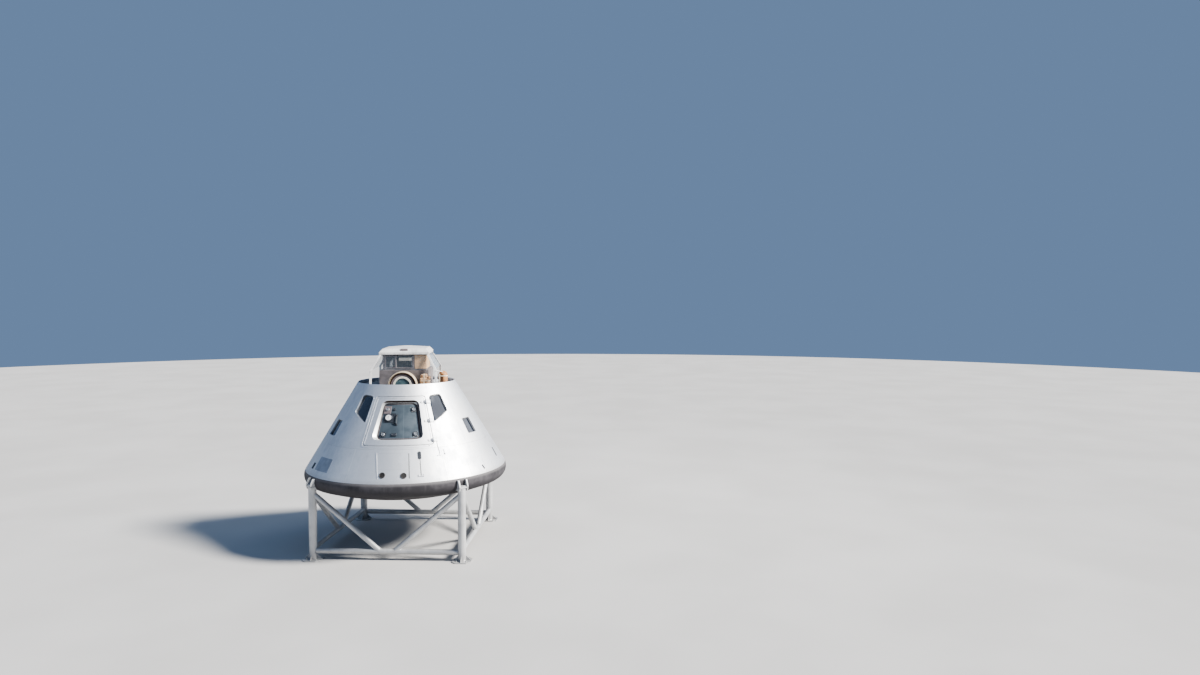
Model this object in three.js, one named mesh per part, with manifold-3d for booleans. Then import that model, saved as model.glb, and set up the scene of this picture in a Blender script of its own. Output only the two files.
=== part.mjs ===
// A full-size cone-shaped crew capsule on a four-post display stand.
// Millimetres, +Z up. The origin is on the floor under the capsule's axis, and the stand's front faces -Y.
// A bearing is an angle round the capsule's axis in degrees: 0 at the hatch, and growing to the right of a
// person who faces the hatch.
import * as THREE from "three";
import { ConvexGeometry } from "three/addons/geometries/ConvexGeometry.js";
import { mergeVertices } from "three/addons/utils/BufferGeometryUtils.js";
import Module from "manifold-3d";

const wasm = await Module();
wasm.setup();

// Fits
const FIT = 0.3; // between pieces that touch
const SEAM = 0.012; // half of the gap between two wall panels, degrees
const FLATS = 72; // flats round the capsule

// Conical wall
const CAPSULE_YAW = 9.3; // the hatch is turned this much from the stand's front, degrees
const BASE_R = 1930;
const BASE_Z = 1529;
const TOP_R = 935.5;
const TOP_Z = 3190;
const WALL = 72; // square to the skin
const LIP = 18; // the same, where the wall stands above the forward deck
const SLOPE = (BASE_R - TOP_R) / (TOP_Z - BASE_Z);
const TILT = Math.atan(SLOPE);
const BELT_Z = 2080; // seam between the lower and the upper wall panels

// Heat shield
const RIM_R = 190; // radius of the rounded rim
const RIM_CENTRE_R = 1765;
const RIM_CENTRE_Z = 1430;
const SHIELD_R = 5300; // radius of the dish
const SHIELD_TOP_Z = 1525;

// Decks
const FLOOR_THICK = 45;
const DECK_Z = 3105;
const DECK_THICK = 45;

// Hatch
const HATCH = { half: 24, low: 2145, high: 2975, corner: 55 };
const HATCH_GAP = { side: 0.36, end: 8 }; // degrees and millimetres of running gap
const RECESS = { half: 16.3, low: 2268, high: 2886, corner: 110 };
const RECESS_SPREAD = 1.085; // how much wider the recess is at the skin than at its floor
const RECESS_LEAN = 0.075; // added to the spread at the lower left corner, taken off at the upper left
const INNER_PLATE = { half: 18.6, low: 2196, high: 2928, corner: 110, thick: 26 };
const LATCH = { r: 33, topR: 27, tall: 34 };

// Hatch hinge, along the skin at the hatch's right edge
const HINGE_BEARING = 24.18;
const HINGE_HEIGHTS = [2210, 2540, 2870];
const PIN_LIFT = 27; // the pin's axis above the skin
const PIN_R = 9;
const PIN_BORE_R = 9.9;
const KNUCKLE_R = 17;
const EYE_HALF = 19; // half length of the moving knuckle
const EAR_GAP = 3;
const EAR_THICK = 14;
const STRAP_REACH = 96;
const WEB_REACH = 58; // of the thick part of a strap
const LEAF_REACH = 82;
const LEAF_THICK = 12;
const LEAF_START = 14; // of the fixed leaf from the pin, past the hatch's gap
const SUNK = 6; // how far both leaves go into the skin before they are trimmed to it

// Windows
const FORWARD_CORNERS = [[28, 2515, 22], [43.5, 2690, 28], [42.2, 3000, 68], [28, 2985, 78]];
const SIDE_CORNERS = [[55.5, 2235, 28], [66, 2235, 28], [66, 2510, 28], [55.5, 2510, 28]];
const WINDOWS = [
  // name, side, corners of [bearing, height, corner radius]
  ["left_forward", -1, FORWARD_CORNERS],
  ["right_forward", 1, FORWARD_CORNERS],
  ["left_side", -1, SIDE_CORNERS],
  ["right_side", 1, SIDE_CORNERS],
];
const PANE_DEPTH = 34;
const PANE_THICK = 12;
const PANE_SCALE = 0.9968; // leaves the fit round a pane

// Wall panels
const PANELS = [
  // name, bearing from, bearing to, lower edge, upper edge
  ["lower_front", -28, 28, SHIELD_TOP_Z + FIT, BELT_Z],
  ["lower_right", 28, 118, SHIELD_TOP_Z + FIT, BELT_Z],
  ["lower_rear", 118, 242, SHIELD_TOP_Z + FIT, BELT_Z],
  ["lower_left", 242, 332, SHIELD_TOP_Z + FIT, BELT_Z],
  ["upper_front", -49, 49, BELT_Z + FIT, TOP_Z],
  ["upper_right", 49, 131, BELT_Z + FIT, TOP_Z],
  ["upper_rear", 131, 229, BELT_Z + FIT, TOP_Z],
  ["upper_left", 229, 311, BELT_Z + FIT, TOP_Z],
];

// Grooves in the lower front panel, and the round vents on it
const GROOVES = [
  // bearing, half width in degrees, lower end, upper end, depth
  [7.3, 0.22, 1610, 2015, 14],
  [13.8, 0.22, 1640, 2005, 14],
];
const VENTS = [
  // name, bearing, height
  ["left", -7.3, 1667],
  ["right", 4.3, 1655],
];
const VENT = { r: 56, boreR: 40, tall: 12, deep: 8 };

// Cage on the forward deck
const CAP = { half: 474, low: 3730, edge: 3775, shoulder: 412, shoulderZ: 3842, pad: 60, top: 3880 };
const STRUT = 42;
const STRUT_STEPS = [
  // half width of the cage, height
  [618, DECK_Z + FIT],
  [608, 3434],
  [446, CAP.low - FIT],
];
const CAP_BOX = { half: 70, low: 3780, top: 3838, out: 452 }; // small housing on the cap's front slope
const GLASS_THICK = 8;
const GLASS_LOW = 3442;
const HOUSING_LOW = { half: 470, top: 3425 };
const HOUSING_HIGH = { half: 416, top: CAP.low - FIT };
const HOUSING_RECESS = { half: 150, low: 3475, high: 3705, depth: 60 };
const BARREL = { r: 270, centreZ: 3150, back: 612, out: 790, neckR: 205 };
const BARREL_FACE = { ringIn: 244, ringDeep: 60, coreR: 200, coreDeep: 22 };
const CANISTER = { x: 706, r: 92, shoulder: 3286, top: 3368 };
const DOME_STEPS = 4;
const PACK = { x: [305, 520], y: [-640, -485], z: [DECK_Z + FIT, 3375], chamfer: 26 };

// Display stand
const STAND_HALF = 1385;
const POST_R = 72.5;
const POST_TOP = 1395;
const FOOT = 350;
const FOOT_CORNER = 70;
const FOOT_THICK = 14;
const GUSSET = { out: 92, tall: 88, toe: 6, thick: 10, sunk: 2 };
const RAIL_R = 50;
const RAIL_Z = { across: 158, along: 208 }; // of the front and rear rails, and of the two side rails
const BRACE_R = 47;
const BRACE_TOP_Z = 1236;
const BRACE_FOOT = { x: 150, above: 20 }; // where a brace's axis ends, from the middle of the rail
const CHEEK_OFFSET = 82; // of a saddle's plates from the post's middle
const CHEEK_THICK = 26;
const CHEEK_DROP = 46; // of a saddle's plates below its seat
const CHEEK_TOP = 1502;
const CHEEK_OUT = 8; // past the post's outer face, at the seat
const CHEEK_IN = 34; // inside of it, at the top
const CHEEK_BEND = 40; // above the seat, where the outer edge starts to lean in
const SEAT_Z = 1352;
const SEAT_THICK = 22;
const CORNERS = [
  // name, side along X, side along Y
  ["front_left", -1, -1],
  ["front_right", 1, -1],
  ["rear_right", 1, 1],
  ["rear_left", -1, 1],
];

const rad = THREE.MathUtils.degToRad;
const at = (x, y, z) => new THREE.Vector3(x, y, z);
const UP = at(0, 0, 1);
const shift = (x, y, z) => new THREE.Matrix4().makeTranslation(x, y, z).toArray();
const turn = (angle) => new THREE.Matrix4().makeRotationZ(angle).toArray();

const coat = THREE.MeshStandardMaterial;
const paint = (color, roughness, metalness) => new coat({ color, roughness, metalness });
const finishes = {
  skin: paint(0xd4d7da, 0.42, 0.35),
  shield: paint(0x57514d, 0.7, 0.0),
  steel: paint(0xb3b5b4, 0.5, 0.3),
  hatchInside: paint(0x7d92a6, 0.5, 0.1),
  dial: paint(0xe9ecec, 0.4, 0.0),
  fitting: paint(0x8e9296, 0.45, 0.6),
  deck: paint(0x8b8d8f, 0.6, 0.1),
  cage: paint(0xe6e4de, 0.5, 0.0),
  housing: paint(0x77797a, 0.6, 0.0),
  cream: paint(0xd9c08f, 0.6, 0.0),
  cloth: paint(0xcdb293, 0.85, 0.0),
  vent: paint(0x4c4742, 0.7, 0.2),
  glass: new coat({ color: 0x2b3544, roughness: 0.08, transparent: true, opacity: 0.5 }),
};

// Closed solid of a three.js geometry.
function solid(geometry) {
  const bare = new THREE.BufferGeometry();
  bare.setAttribute("position", geometry.getAttribute("position").clone());
  bare.setIndex(geometry.index);
  const merged = mergeVertices(bare, 1e-3);
  const corners = merged.index.array;
  const kept = [];
  for (let i = 0; i < corners.length; i += 3) {
    const [a, b, c] = corners.slice(i, i + 3);
    if (a !== b && b !== c && c !== a) kept.push(a, b, c);
  }
  const vertProperties = merged.attributes.position.array;
  return new wasm.Manifold(new wasm.Mesh({ numProp: 3, vertProperties, triVerts: new Uint32Array(kept) }));
}

// Named mesh of a solid.
function piece(name, made, material) {
  const { vertProperties, triVerts } = made.getMesh();
  const geometry = new THREE.BufferGeometry();
  geometry.setAttribute("position", new THREE.BufferAttribute(vertProperties, 3));
  geometry.setIndex(new THREE.BufferAttribute(triVerts, 1));
  geometry.computeVertexNormals();
  const mesh = new THREE.Mesh(geometry, material);
  mesh.name = name;
  return mesh;
}

const joined = (...solids) => solids.reduce((whole, next) => whole.add(next));

// Turned solid of a profile of [radius, height] points that starts and ends on the axis or closes on itself.
function turned(profile) {
  const points = profile.map(([r, z]) => new THREE.Vector2(r, z));
  if (profile[0][0] > 0) {
    if (THREE.ShapeUtils.area(points) < 0) points.reverse();
    points.push(points[0].clone());
  }
  return solid(new THREE.LatheGeometry(points, FLATS).rotateX(Math.PI / 2));
}

// Round bar between two points.
function bar(from, to, radius, sides = 16) {
  const along = to.clone().sub(from);
  const geometry = new THREE.CylinderGeometry(radius, radius, along.length(), sides);
  geometry.rotateX(Math.PI / 2);
  geometry.applyQuaternion(new THREE.Quaternion().setFromUnitVectors(UP, along.clone().normalize()));
  const middle = from.clone().add(to).multiplyScalar(0.5);
  return solid(geometry.translate(middle.x, middle.y, middle.z));
}

// Box between two corners.
function block([x0, x1], [y0, y1], [z0, z1]) {
  const geometry = new THREE.BoxGeometry(x1 - x0, y1 - y0, z1 - z0);
  return solid(geometry.translate((x0 + x1) / 2, (y0 + y1) / 2, (z0 + z1) / 2));
}

// Plate of an outline of [x, z] points, standing upright and centred on y = 0.
function uprightPlate(outline, thick) {
  const shape = new THREE.Shape(outline.map(([x, z]) => new THREE.Vector2(x, z)));
  const geometry = new THREE.ExtrudeGeometry(shape, { depth: thick, bevelEnabled: false });
  return solid(geometry.translate(0, 0, -thick / 2).rotateX(Math.PI / 2));
}

const hull = (points) => solid(new ConvexGeometry(points));

// The cone of the skin
const skinR = (z) => BASE_R - (z - BASE_Z) * SLOPE;
const liningR = (z) => skinR(z) - WALL / Math.cos(TILT);
const lipR = (z) => skinR(z) - LIP / Math.cos(TILT);

// Unit vectors at a bearing: to the right along the skin, and straight out of it.
const rightward = (bearing) => at(Math.cos(rad(bearing)), Math.sin(rad(bearing)), 0);
function outward(bearing) {
  const level = at(Math.sin(rad(bearing)), -Math.cos(rad(bearing)), 0);
  return level.multiplyScalar(Math.cos(TILT)).addScaledVector(UP, Math.sin(TILT));
}

function onSkin(bearing, z, lift = 0) {
  const r = skinR(z);
  const foot = at(r * Math.sin(rad(bearing)), -r * Math.cos(rad(bearing)), z);
  return foot.addScaledVector(outward(bearing), lift);
}

// Frame of a fitting on the skin: x to the right, y up the slope, z straight out.
function skinFrame(bearing, z, lift = 0) {
  const right = rightward(bearing);
  const out = outward(bearing);
  const basis = new THREE.Matrix4().makeBasis(right, out.clone().cross(right), out);
  return basis.setPosition(onSkin(bearing, z, lift));
}

// Ring between two lifts above the skin, a little past the cone's ends, and everything under a lift.
const PAST = 120;
function skinShell(low, high) {
  const [z0, z1] = [BASE_Z - PAST, TOP_Z + PAST];
  const edge = (z, lift) => [skinR(z) + lift / Math.cos(TILT), z];
  return turned([edge(z0, low), edge(z0, high), edge(z1, high), edge(z1, low)]);
}
function underSkin(lift) {
  const [z0, z1] = [BASE_Z - PAST, TOP_Z + PAST];
  const grow = lift / Math.cos(TILT);
  return turned([[0, z0], [skinR(z0) + grow, z0], [skinR(z1) + grow, z1], [0, z1]]);
}

// Outline of [bearing, height, radius] corners, its long edges split so that they follow the skin.
const CORNER_STEPS = 4;
const EDGE_DEGREES = 5;
function outlineOf(corners) {
  const span = ([b0, z0], [b1, z1]) =>
    Math.hypot(rad(b1 - b0) * skinR((z0 + z1) / 2), (z1 - z0) / Math.cos(TILT));
  const mix = (a, b, t) => [a[0] + (b[0] - a[0]) * t, a[1] + (b[1] - a[1]) * t];
  const points = [];
  corners.forEach((corner, i) => {
    const before = corners.at(i - 1);
    const after = corners[(i + 1) % corners.length];
    const from = mix(corner, before, corner[2] / span(corner, before));
    const to = mix(corner, after, corner[2] / span(corner, after));
    for (let k = 0; k <= CORNER_STEPS; k++) {
      const t = k / CORNER_STEPS;
      points.push(mix(mix(from, corner, t), mix(corner, to, t), t));
    }
    const next = mix(after, corner, after[2] / span(corner, after));
    const parts = Math.ceil(Math.abs(next[0] - to[0]) / EDGE_DEGREES);
    for (let k = 1; k < parts; k++) points.push(mix(to, next, k / parts));
  });
  return points;
}
const doorOutline = ({ half, low, high, corner }) =>
  outlineOf([[-half, low, corner], [half, low, corner], [half, high, corner], [-half, high, corner]]);

// Block through the skin with one outline at a low lift and one, with as many points, at a high lift.
function through(lowOutline, low, highOutline, high) {
  const flat = lowOutline.map(([bearing, z]) => new THREE.Vector2(bearing * 20, z));
  const clockwise = THREE.ShapeUtils.area(flat) < 0;
  const faces = THREE.ShapeUtils.triangulateShape(flat, []);
  const count = lowOutline.length;
  const points = [];
  lowOutline.forEach(([bearing, z]) => points.push(onSkin(bearing, z, low)));
  highOutline.forEach(([bearing, z]) => points.push(onSkin(bearing, z, high)));
  const index = [];
  for (const [a, b, c] of faces) {
    index.push(a, c, b);
    index.push(a + count, b + count, c + count);
  }
  for (let i = 0; i < count; i++) {
    const j = (i + 1) % count;
    const [first, second] = clockwise ? [j, i] : [i, j];
    index.push(first, second, second + count);
    index.push(first, second + count, first + count);
  }
  const geometry = new THREE.BufferGeometry().setFromPoints(points);
  geometry.setIndex(index);
  return solid(geometry);
}
const CUT_LOW = -260;
const CUT_HIGH = 320;
const cutter = (outline) => through(outline, CUT_LOW, outline, CUT_HIGH);

// Shrinks an outline about its middle.
function scaled(outline, factor) {
  const middle = outline.reduce((sum, point) => [sum[0] + point[0], sum[1] + point[1]], [0, 0]);
  const [b, z] = middle.map((value) => value / outline.length);
  return outline.map((point) => [b + (point[0] - b) * factor, z + (point[1] - z) * factor]);
}

const windowOutline = ([, side, corners]) =>
  outlineOf(corners.map(([bearing, z, radius]) => [side * bearing, z, radius]));

const capsule = new THREE.Group();
capsule.rotation.z = rad(CAPSULE_YAW);

// Heat shield: a dish of one large radius that runs into the rounded rim
const RIM_STEPS = 7;
const DISH_STEPS = 4;
function shieldProfile(grow = 0) {
  const reach = SHIELD_R - RIM_R;
  const dishCentreZ = RIM_CENTRE_Z + Math.sqrt(reach ** 2 - RIM_CENTRE_R ** 2);
  const meet = Math.asin(RIM_CENTRE_R / reach);
  const topAngle = Math.asin((SHIELD_TOP_Z - RIM_CENTRE_Z) / RIM_R);
  const profile = [];
  for (let i = 0; i <= DISH_STEPS; i++) {
    const a = (meet * i) / DISH_STEPS;
    profile.push([(SHIELD_R + grow) * Math.sin(a), dishCentreZ - (SHIELD_R + grow) * Math.cos(a)]);
  }
  for (let i = 1; i <= RIM_STEPS; i++) {
    const a = meet - Math.PI / 2 + ((topAngle - meet + Math.PI / 2) * i) / RIM_STEPS;
    profile.push([RIM_CENTRE_R + (RIM_R + grow) * Math.cos(a), RIM_CENTRE_Z + (RIM_R + grow) * Math.sin(a)]);
  }
  return [...profile, [0, profile.at(-1)[1]]];
}
capsule.add(piece("heat_shield", turned(shieldProfile()), finishes.shield));

// Floor over the shield and deck at the cone's top: discs with the lining's slope on their edges
function disc(low, high) {
  return turned([[0, low], [liningR(low) - 2 * FIT, low], [liningR(high) - 2 * FIT, high], [0, high]]);
}
const floorLow = SHIELD_TOP_Z + FIT;
capsule.add(piece("cabin_floor", disc(floorLow, floorLow + FLOOR_THICK), finishes.deck));
capsule.add(piece("forward_deck", disc(DECK_Z - DECK_THICK, DECK_Z), finishes.deck));

// Conical wall in panels, with the hatchway and the windows cut
const hatchway = doorOutline({
  half: HATCH.half + HATCH_GAP.side,
  low: HATCH.low - HATCH_GAP.end,
  high: HATCH.high + HATCH_GAP.end,
  corner: HATCH.corner,
});
const holes = [hatchway, ...WINDOWS.map(windowOutline)].map(cutter);
const grooveCuts = GROOVES.map(([bearing, half, low, high, depth]) => {
  const [left, right] = [bearing - half, bearing + half];
  const outline = [[left, low], [right, low], [right, high], [left, high]];
  return through(outline, -depth, outline, CUT_HIGH);
});

const SECTOR_REACH = 1.5 * BASE_R;
const SECTOR_STEP = 20; // degrees
function sector(from, to, low, high) {
  const parts = Math.ceil((to - from) / SECTOR_STEP);
  const shape = new THREE.Shape([new THREE.Vector2(0, 0)]);
  for (let i = 0; i <= parts; i++) {
    const a = rad(from + ((to - from) * i) / parts);
    shape.lineTo(SECTOR_REACH * Math.sin(a), -SECTOR_REACH * Math.cos(a));
  }
  const wedge = new THREE.ExtrudeGeometry(shape, { depth: high - low, bevelEnabled: false });
  return solid(wedge.translate(0, 0, low));
}

// The upper panels are thin above the deck, and the struts of the cage stand on the ledge that this leaves.
function wallProfile(low, high) {
  const outside = [[liningR(low), low], [skinR(low), low], [skinR(high), high]];
  if (high < DECK_Z) return [...outside, [liningR(high), high]];
  return [...outside, [lipR(high), high], [lipR(DECK_Z), DECK_Z], [liningR(DECK_Z), DECK_Z]];
}

for (const [name, from, to, low, high] of PANELS) {
  const ring = turned(wallProfile(low, high));
  let panel = ring.intersect(sector(from + SEAM, to - SEAM, low - 1, high + 1));
  const cuts = name === "lower_front" ? grooveCuts : holes;
  for (const cut of cuts) panel = panel.subtract(cut);
  capsule.add(piece("wall_" + name, panel, finishes.skin));
}

for (const row of WINDOWS) {
  const pane = skinShell(-PANE_DEPTH - PANE_THICK, -PANE_DEPTH);
  const outline = scaled(windowOutline(row), PANE_SCALE);
  capsule.add(piece("window_" + row[0], pane.intersect(cutter(outline)), finishes.glass));
}

// Round vents low on the front, each a collar with a blind hole
const bareSkin = underSkin(FIT);
for (const [name, bearing, z] of VENTS) {
  const collar = new THREE.CylinderGeometry(VENT.r, VENT.r, 2 * VENT.tall, 24).rotateX(Math.PI / 2);
  const bore = new THREE.CylinderGeometry(VENT.boreR, VENT.boreR, 2 * VENT.deep, 24).rotateX(Math.PI / 2);
  bore.translate(0, 0, VENT.tall);
  const vent = solid(collar).subtract(solid(bore));
  const placed = vent.transform(skinFrame(bearing, z).toArray());
  capsule.add(piece("vent_" + name, placed.subtract(bareSkin), finishes.vent));
}

// Hatch: an outer frame as thick as the wall, a recessed inner plate with four latches, a dial and a handle
const hatchOutline = doorOutline(HATCH);
const hatchBlock = skinShell(-WALL, 0).intersect(cutter(hatchOutline));
const recessMiddle = (RECESS.low + RECESS.high) / 2;
function recessAt(lift) {
  const share = 1 + lift / WALL;
  return doorOutline(RECESS).map(([bearing, z]) => {
    const above = z - recessMiddle;
    const lean = bearing < 0 ? (-RECESS_LEAN * above) / (RECESS.high - recessMiddle) : 0;
    const across = bearing * (1 + (RECESS_SPREAD - 1 + lean) * share);
    return [across, recessMiddle + above * (1 + (RECESS_SPREAD - 1) * share)];
  });
}
const recess = through(recessAt(CUT_LOW), CUT_LOW, recessAt(CUT_HIGH), CUT_HIGH);
capsule.add(piece("hatch_frame", hatchBlock.subtract(recess), finishes.skin));

const plateTop = -WALL - FIT;
const plateShell = skinShell(plateTop - INNER_PLATE.thick, plateTop);
const platePart = plateShell.intersect(cutter(doorOutline(INNER_PLATE)));
const ROOT = 20; // how far a fitting is sunk before it is trimmed to the surface that it stands on
const latchShape = new THREE.CylinderGeometry(LATCH.topR, LATCH.r, LATCH.tall + ROOT, 16);
latchShape.rotateX(Math.PI / 2);
const LATCHES = [
  // bearing, height
  [-11.8, 2352],
  [12.4, 2350],
  [12.4, 2770],
  [-11.6, 2778],
];
const latches = LATCHES.map(([bearing, z]) => {
  const frame = skinFrame(bearing, z, plateTop + (LATCH.tall - ROOT) / 2);
  return solid(latchShape).transform(frame.toArray());
});
capsule.add(piece("hatch_plate", joined(platePart, ...latches), finishes.hatchInside));

const plateSkin = underSkin(plateTop + FIT);
const DIAL = { bearing: -9.3, z: 2640, r: 76, tall: 24, rim: 10, deep: 8 };
const dialBody = new THREE.CylinderGeometry(DIAL.r, DIAL.r, DIAL.tall + ROOT, 28).rotateX(Math.PI / 2);
const dialFace = new THREE.CylinderGeometry(DIAL.r - DIAL.rim, DIAL.r - DIAL.rim, DIAL.deep * 2, 28);
dialFace.rotateX(Math.PI / 2).translate(0, 0, (DIAL.tall + ROOT) / 2);
const dialFrame = skinFrame(DIAL.bearing, DIAL.z, plateTop + (DIAL.tall - ROOT) / 2);
const dial = solid(dialBody).subtract(solid(dialFace)).transform(dialFrame.toArray()).subtract(plateSkin);
capsule.add(piece("hatch_dial", dial, finishes.dial));

const HANDLE = { bearing: -2.3, low: 2508, high: 2690, lift: 34, r: 9, footR: 15, footIn: 12 };
const handleAt = (z, lift) => onSkin(HANDLE.bearing, z, plateTop + lift);
const grip = bar(handleAt(HANDLE.low, HANDLE.lift), handleAt(HANDLE.high, HANDLE.lift), HANDLE.r, 12);
const handleFeet = [HANDLE.low + HANDLE.footIn, HANDLE.high - HANDLE.footIn].map((z) =>
  bar(handleAt(z, -ROOT / 2), handleAt(z, HANDLE.lift), HANDLE.footR, 12),
);
const handle = joined(grip, ...handleFeet).subtract(plateSkin);
capsule.add(piece("hatch_handle", handle, finishes.fitting));

// Hinge fittings. In their own frame the pin lies along y at the origin, and the skin is PIN_LIFT below.
const pinAlong = (radius, half) => solid(new THREE.CylinderGeometry(radius, radius, 2 * half, 20));
const earInner = EYE_HALF + EAR_GAP;
const earOuter = earInner + EAR_THICK;
const leafSpan = [-PIN_LIFT - SUNK, -PIN_LIFT + LEAF_THICK];

function fixedFitting() {
  const ears = [-1, 1].map((side) => {
    const middle = side * (earInner + EAR_THICK / 2);
    const round = pinAlong(KNUCKLE_R, EAR_THICK / 2).transform(shift(0, middle, 0));
    const span = [middle - EAR_THICK / 2, middle + EAR_THICK / 2];
    const foot = hull(
      [
        [4, KNUCKLE_R - 1.5],
        [-2, -KNUCKLE_R + 1.5],
        [LEAF_START, leafSpan[0]],
        [LEAF_REACH, leafSpan[0]],
        [LEAF_REACH, leafSpan[1]],
      ].flatMap(([x, z]) => span.map((y) => at(x, y, z))),
    );
    return round.add(foot);
  });
  const leaf = block([LEAF_START, LEAF_REACH], [-earOuter, earOuter], leafSpan);
  return joined(pinAlong(PIN_R, earOuter), ...ears, leaf);
}

function movingFitting() {
  const strap = block([-STRAP_REACH, -2], [-EYE_HALF, EYE_HALF], leafSpan);
  const web = hull(
    [
      [-5, KNUCKLE_R - 2],
      [-2, -PIN_LIFT],
      [-WEB_REACH, -PIN_LIFT],
      [-WEB_REACH, -PIN_LIFT + LEAF_THICK],
    ].flatMap(([x, z]) => [-EYE_HALF, EYE_HALF].map((y) => at(x, y, z))),
  );
  const eye = pinAlong(KNUCKLE_R, EYE_HALF);
  return joined(strap, web, eye).subtract(pinAlong(PIN_BORE_R, 2 * EYE_HALF));
}

HINGE_HEIGHTS.forEach((z, i) => {
  const place = skinFrame(HINGE_BEARING, z, PIN_LIFT).toArray();
  const fixed = fixedFitting().transform(place).subtract(bareSkin);
  const moving = movingFitting().transform(place).subtract(bareSkin);
  capsule.add(piece("hinge_bracket_" + (i + 1), fixed, finishes.fitting));
  capsule.add(piece("hinge_strap_" + (i + 1), moving, finishes.fitting));
});

// Cage: four kinked struts, glazed above the kink, under a low cap
function strut(sx, sy) {
  const ring = ([half, z]) =>
    [-0.5, 0.5].flatMap((a) => [-0.5, 0.5].map((b) => at(sx * half + a * STRUT, sy * half + b * STRUT, z)));
  const [low, kink, top] = STRUT_STEPS.map(ring);
  return hull([...low, ...kink]).add(hull([...kink, ...top]));
}
for (const [name, sx, sy] of CORNERS) capsule.add(piece("cage_strut_" + name, strut(sx, sy), finishes.cage));

const SIDES = [
  // name, quarter turns from the front
  ["front", 0],
  ["right", 1],
  ["rear", 2],
  ["left", 3],
];
const quarter = (turns) => turn((turns * Math.PI) / 2);

function glassPane() {
  const [, [kinkHalf, kinkZ], [topHalf, topZ]] = STRUT_STEPS;
  const half = (z) => kinkHalf + ((topHalf - kinkHalf) * (z - kinkZ)) / (topZ - kinkZ);
  const edge = (z) => {
    const width = half(z) - STRUT / 2 - FIT;
    const faces = [-0.5, 0.5].map((face) => face * GLASS_THICK - half(z));
    return faces.flatMap((y) => [at(-width, y, z), at(width, y, z)]);
  };
  return hull([...edge(GLASS_LOW), ...edge(topZ)]);
}
for (const [name, turns] of SIDES) {
  capsule.add(piece("cage_glass_" + name, glassPane().transform(quarter(turns)), finishes.glass));
}

// Half barrel out of the housing's front: a drum on a narrower neck, its face a ring round a core
function barrel() {
  const { r, centreZ, back, out, neckR } = BARREL;
  const { ringIn, ringDeep, coreR, coreDeep } = BARREL_FACE;
  const lying = (radius, from, to) => {
    const geometry = new THREE.CylinderGeometry(radius, radius, to - from, 32);
    return solid(geometry.translate(0, -(from + to) / 2, centreZ));
  };
  const cheeks = (half, from, to) => block([-half, half], [-to, -from], [DECK_Z + FIT, centreZ]);
  const start = HOUSING_LOW.half + FIT;
  const drum = lying(r, back, out).add(cheeks(r, back, out));
  const neck = lying(neckR, start, back + 1).add(cheeks(neckR, start, back + 1));
  const groove = lying(ringIn, out - ringDeep, out + 10).subtract(lying(coreR, start, out - coreDeep));
  const below = block([-2 * r, 2 * r], [-2 * out, 0], [centreZ - 2 * r, DECK_Z + FIT]);
  return joined(drum, neck).subtract(groove).subtract(below);
}
capsule.add(piece("front_barrel", barrel(), finishes.cream));

// Domed canister that stands on the deck, to the right of the cage
function canister() {
  const { x, r, shoulder, top } = CANISTER;
  const dome = [];
  for (let i = 0; i <= DOME_STEPS; i++) {
    const a = ((Math.PI / 2) * i) / DOME_STEPS;
    dome.push([r * Math.cos(a), shoulder + (top - shoulder) * Math.sin(a)]);
  }
  dome.at(-1)[0] = 0;
  return turned([[0, DECK_Z + FIT], [r, DECK_Z + FIT], ...dome]).transform(shift(x, 0, 0));
}
capsule.add(piece("side_canister", canister(), finishes.cream));

const square = (half, z) => [-half, half].flatMap((x) => [-half, half].map((y) => at(x, y, z)));
const capBand = hull([...square(CAP.half, CAP.low), ...square(CAP.half, CAP.edge)]);
const capBevel = hull([...square(CAP.half, CAP.edge - 1), ...square(CAP.shoulder, CAP.shoulderZ)]);
const capTop = hull([...square(CAP.shoulder, CAP.shoulderZ - 1), ...square(CAP.pad, CAP.top)]);
const capBox = block([-CAP_BOX.half, CAP_BOX.half], [-CAP_BOX.out, -CAP.pad], [CAP_BOX.low, CAP_BOX.top]);
capsule.add(piece("cage_cap", joined(capBand, capBevel, capTop, capBox), finishes.cage));

const upright = (half, low, high) => block([-half, half], [-half, half], [low, high]);
const housingLow = upright(HOUSING_LOW.half, DECK_Z + FIT, HOUSING_LOW.top);
const housingHigh = upright(HOUSING_HIGH.half, HOUSING_LOW.top - 1, HOUSING_HIGH.top);
const frontRecess = block(
  [-HOUSING_RECESS.half, HOUSING_RECESS.half],
  [-2 * HOUSING_HIGH.half, -HOUSING_HIGH.half + HOUSING_RECESS.depth],
  [HOUSING_RECESS.low, HOUSING_RECESS.high],
);
capsule.add(piece("tunnel_housing", housingLow.add(housingHigh).subtract(frontRecess), finishes.housing));
function chamferedBlock(spans, chamfer) {
  const points = [];
  for (let corner = 0; corner < 8; corner++) {
    const ends = spans.map((span, axis) => (corner >> axis) & 1);
    for (let flat = 0; flat < 3; flat++) {
      const place = spans.map((span, axis) => {
        const inward = axis === flat ? 0 : chamfer;
        return ends[axis] ? span[1] - inward : span[0] + inward;
      });
      points.push(at(...place));
    }
  }
  return hull(points);
}
capsule.add(piece("stowed_pack", chamferedBlock([PACK.x, PACK.y, PACK.z], PACK.chamfer), finishes.cloth));

// Display stand
const stand = new THREE.Group();
const shieldRoom = turned(shieldProfile(FIT)).transform(turn(rad(CAPSULE_YAW)));

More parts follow.
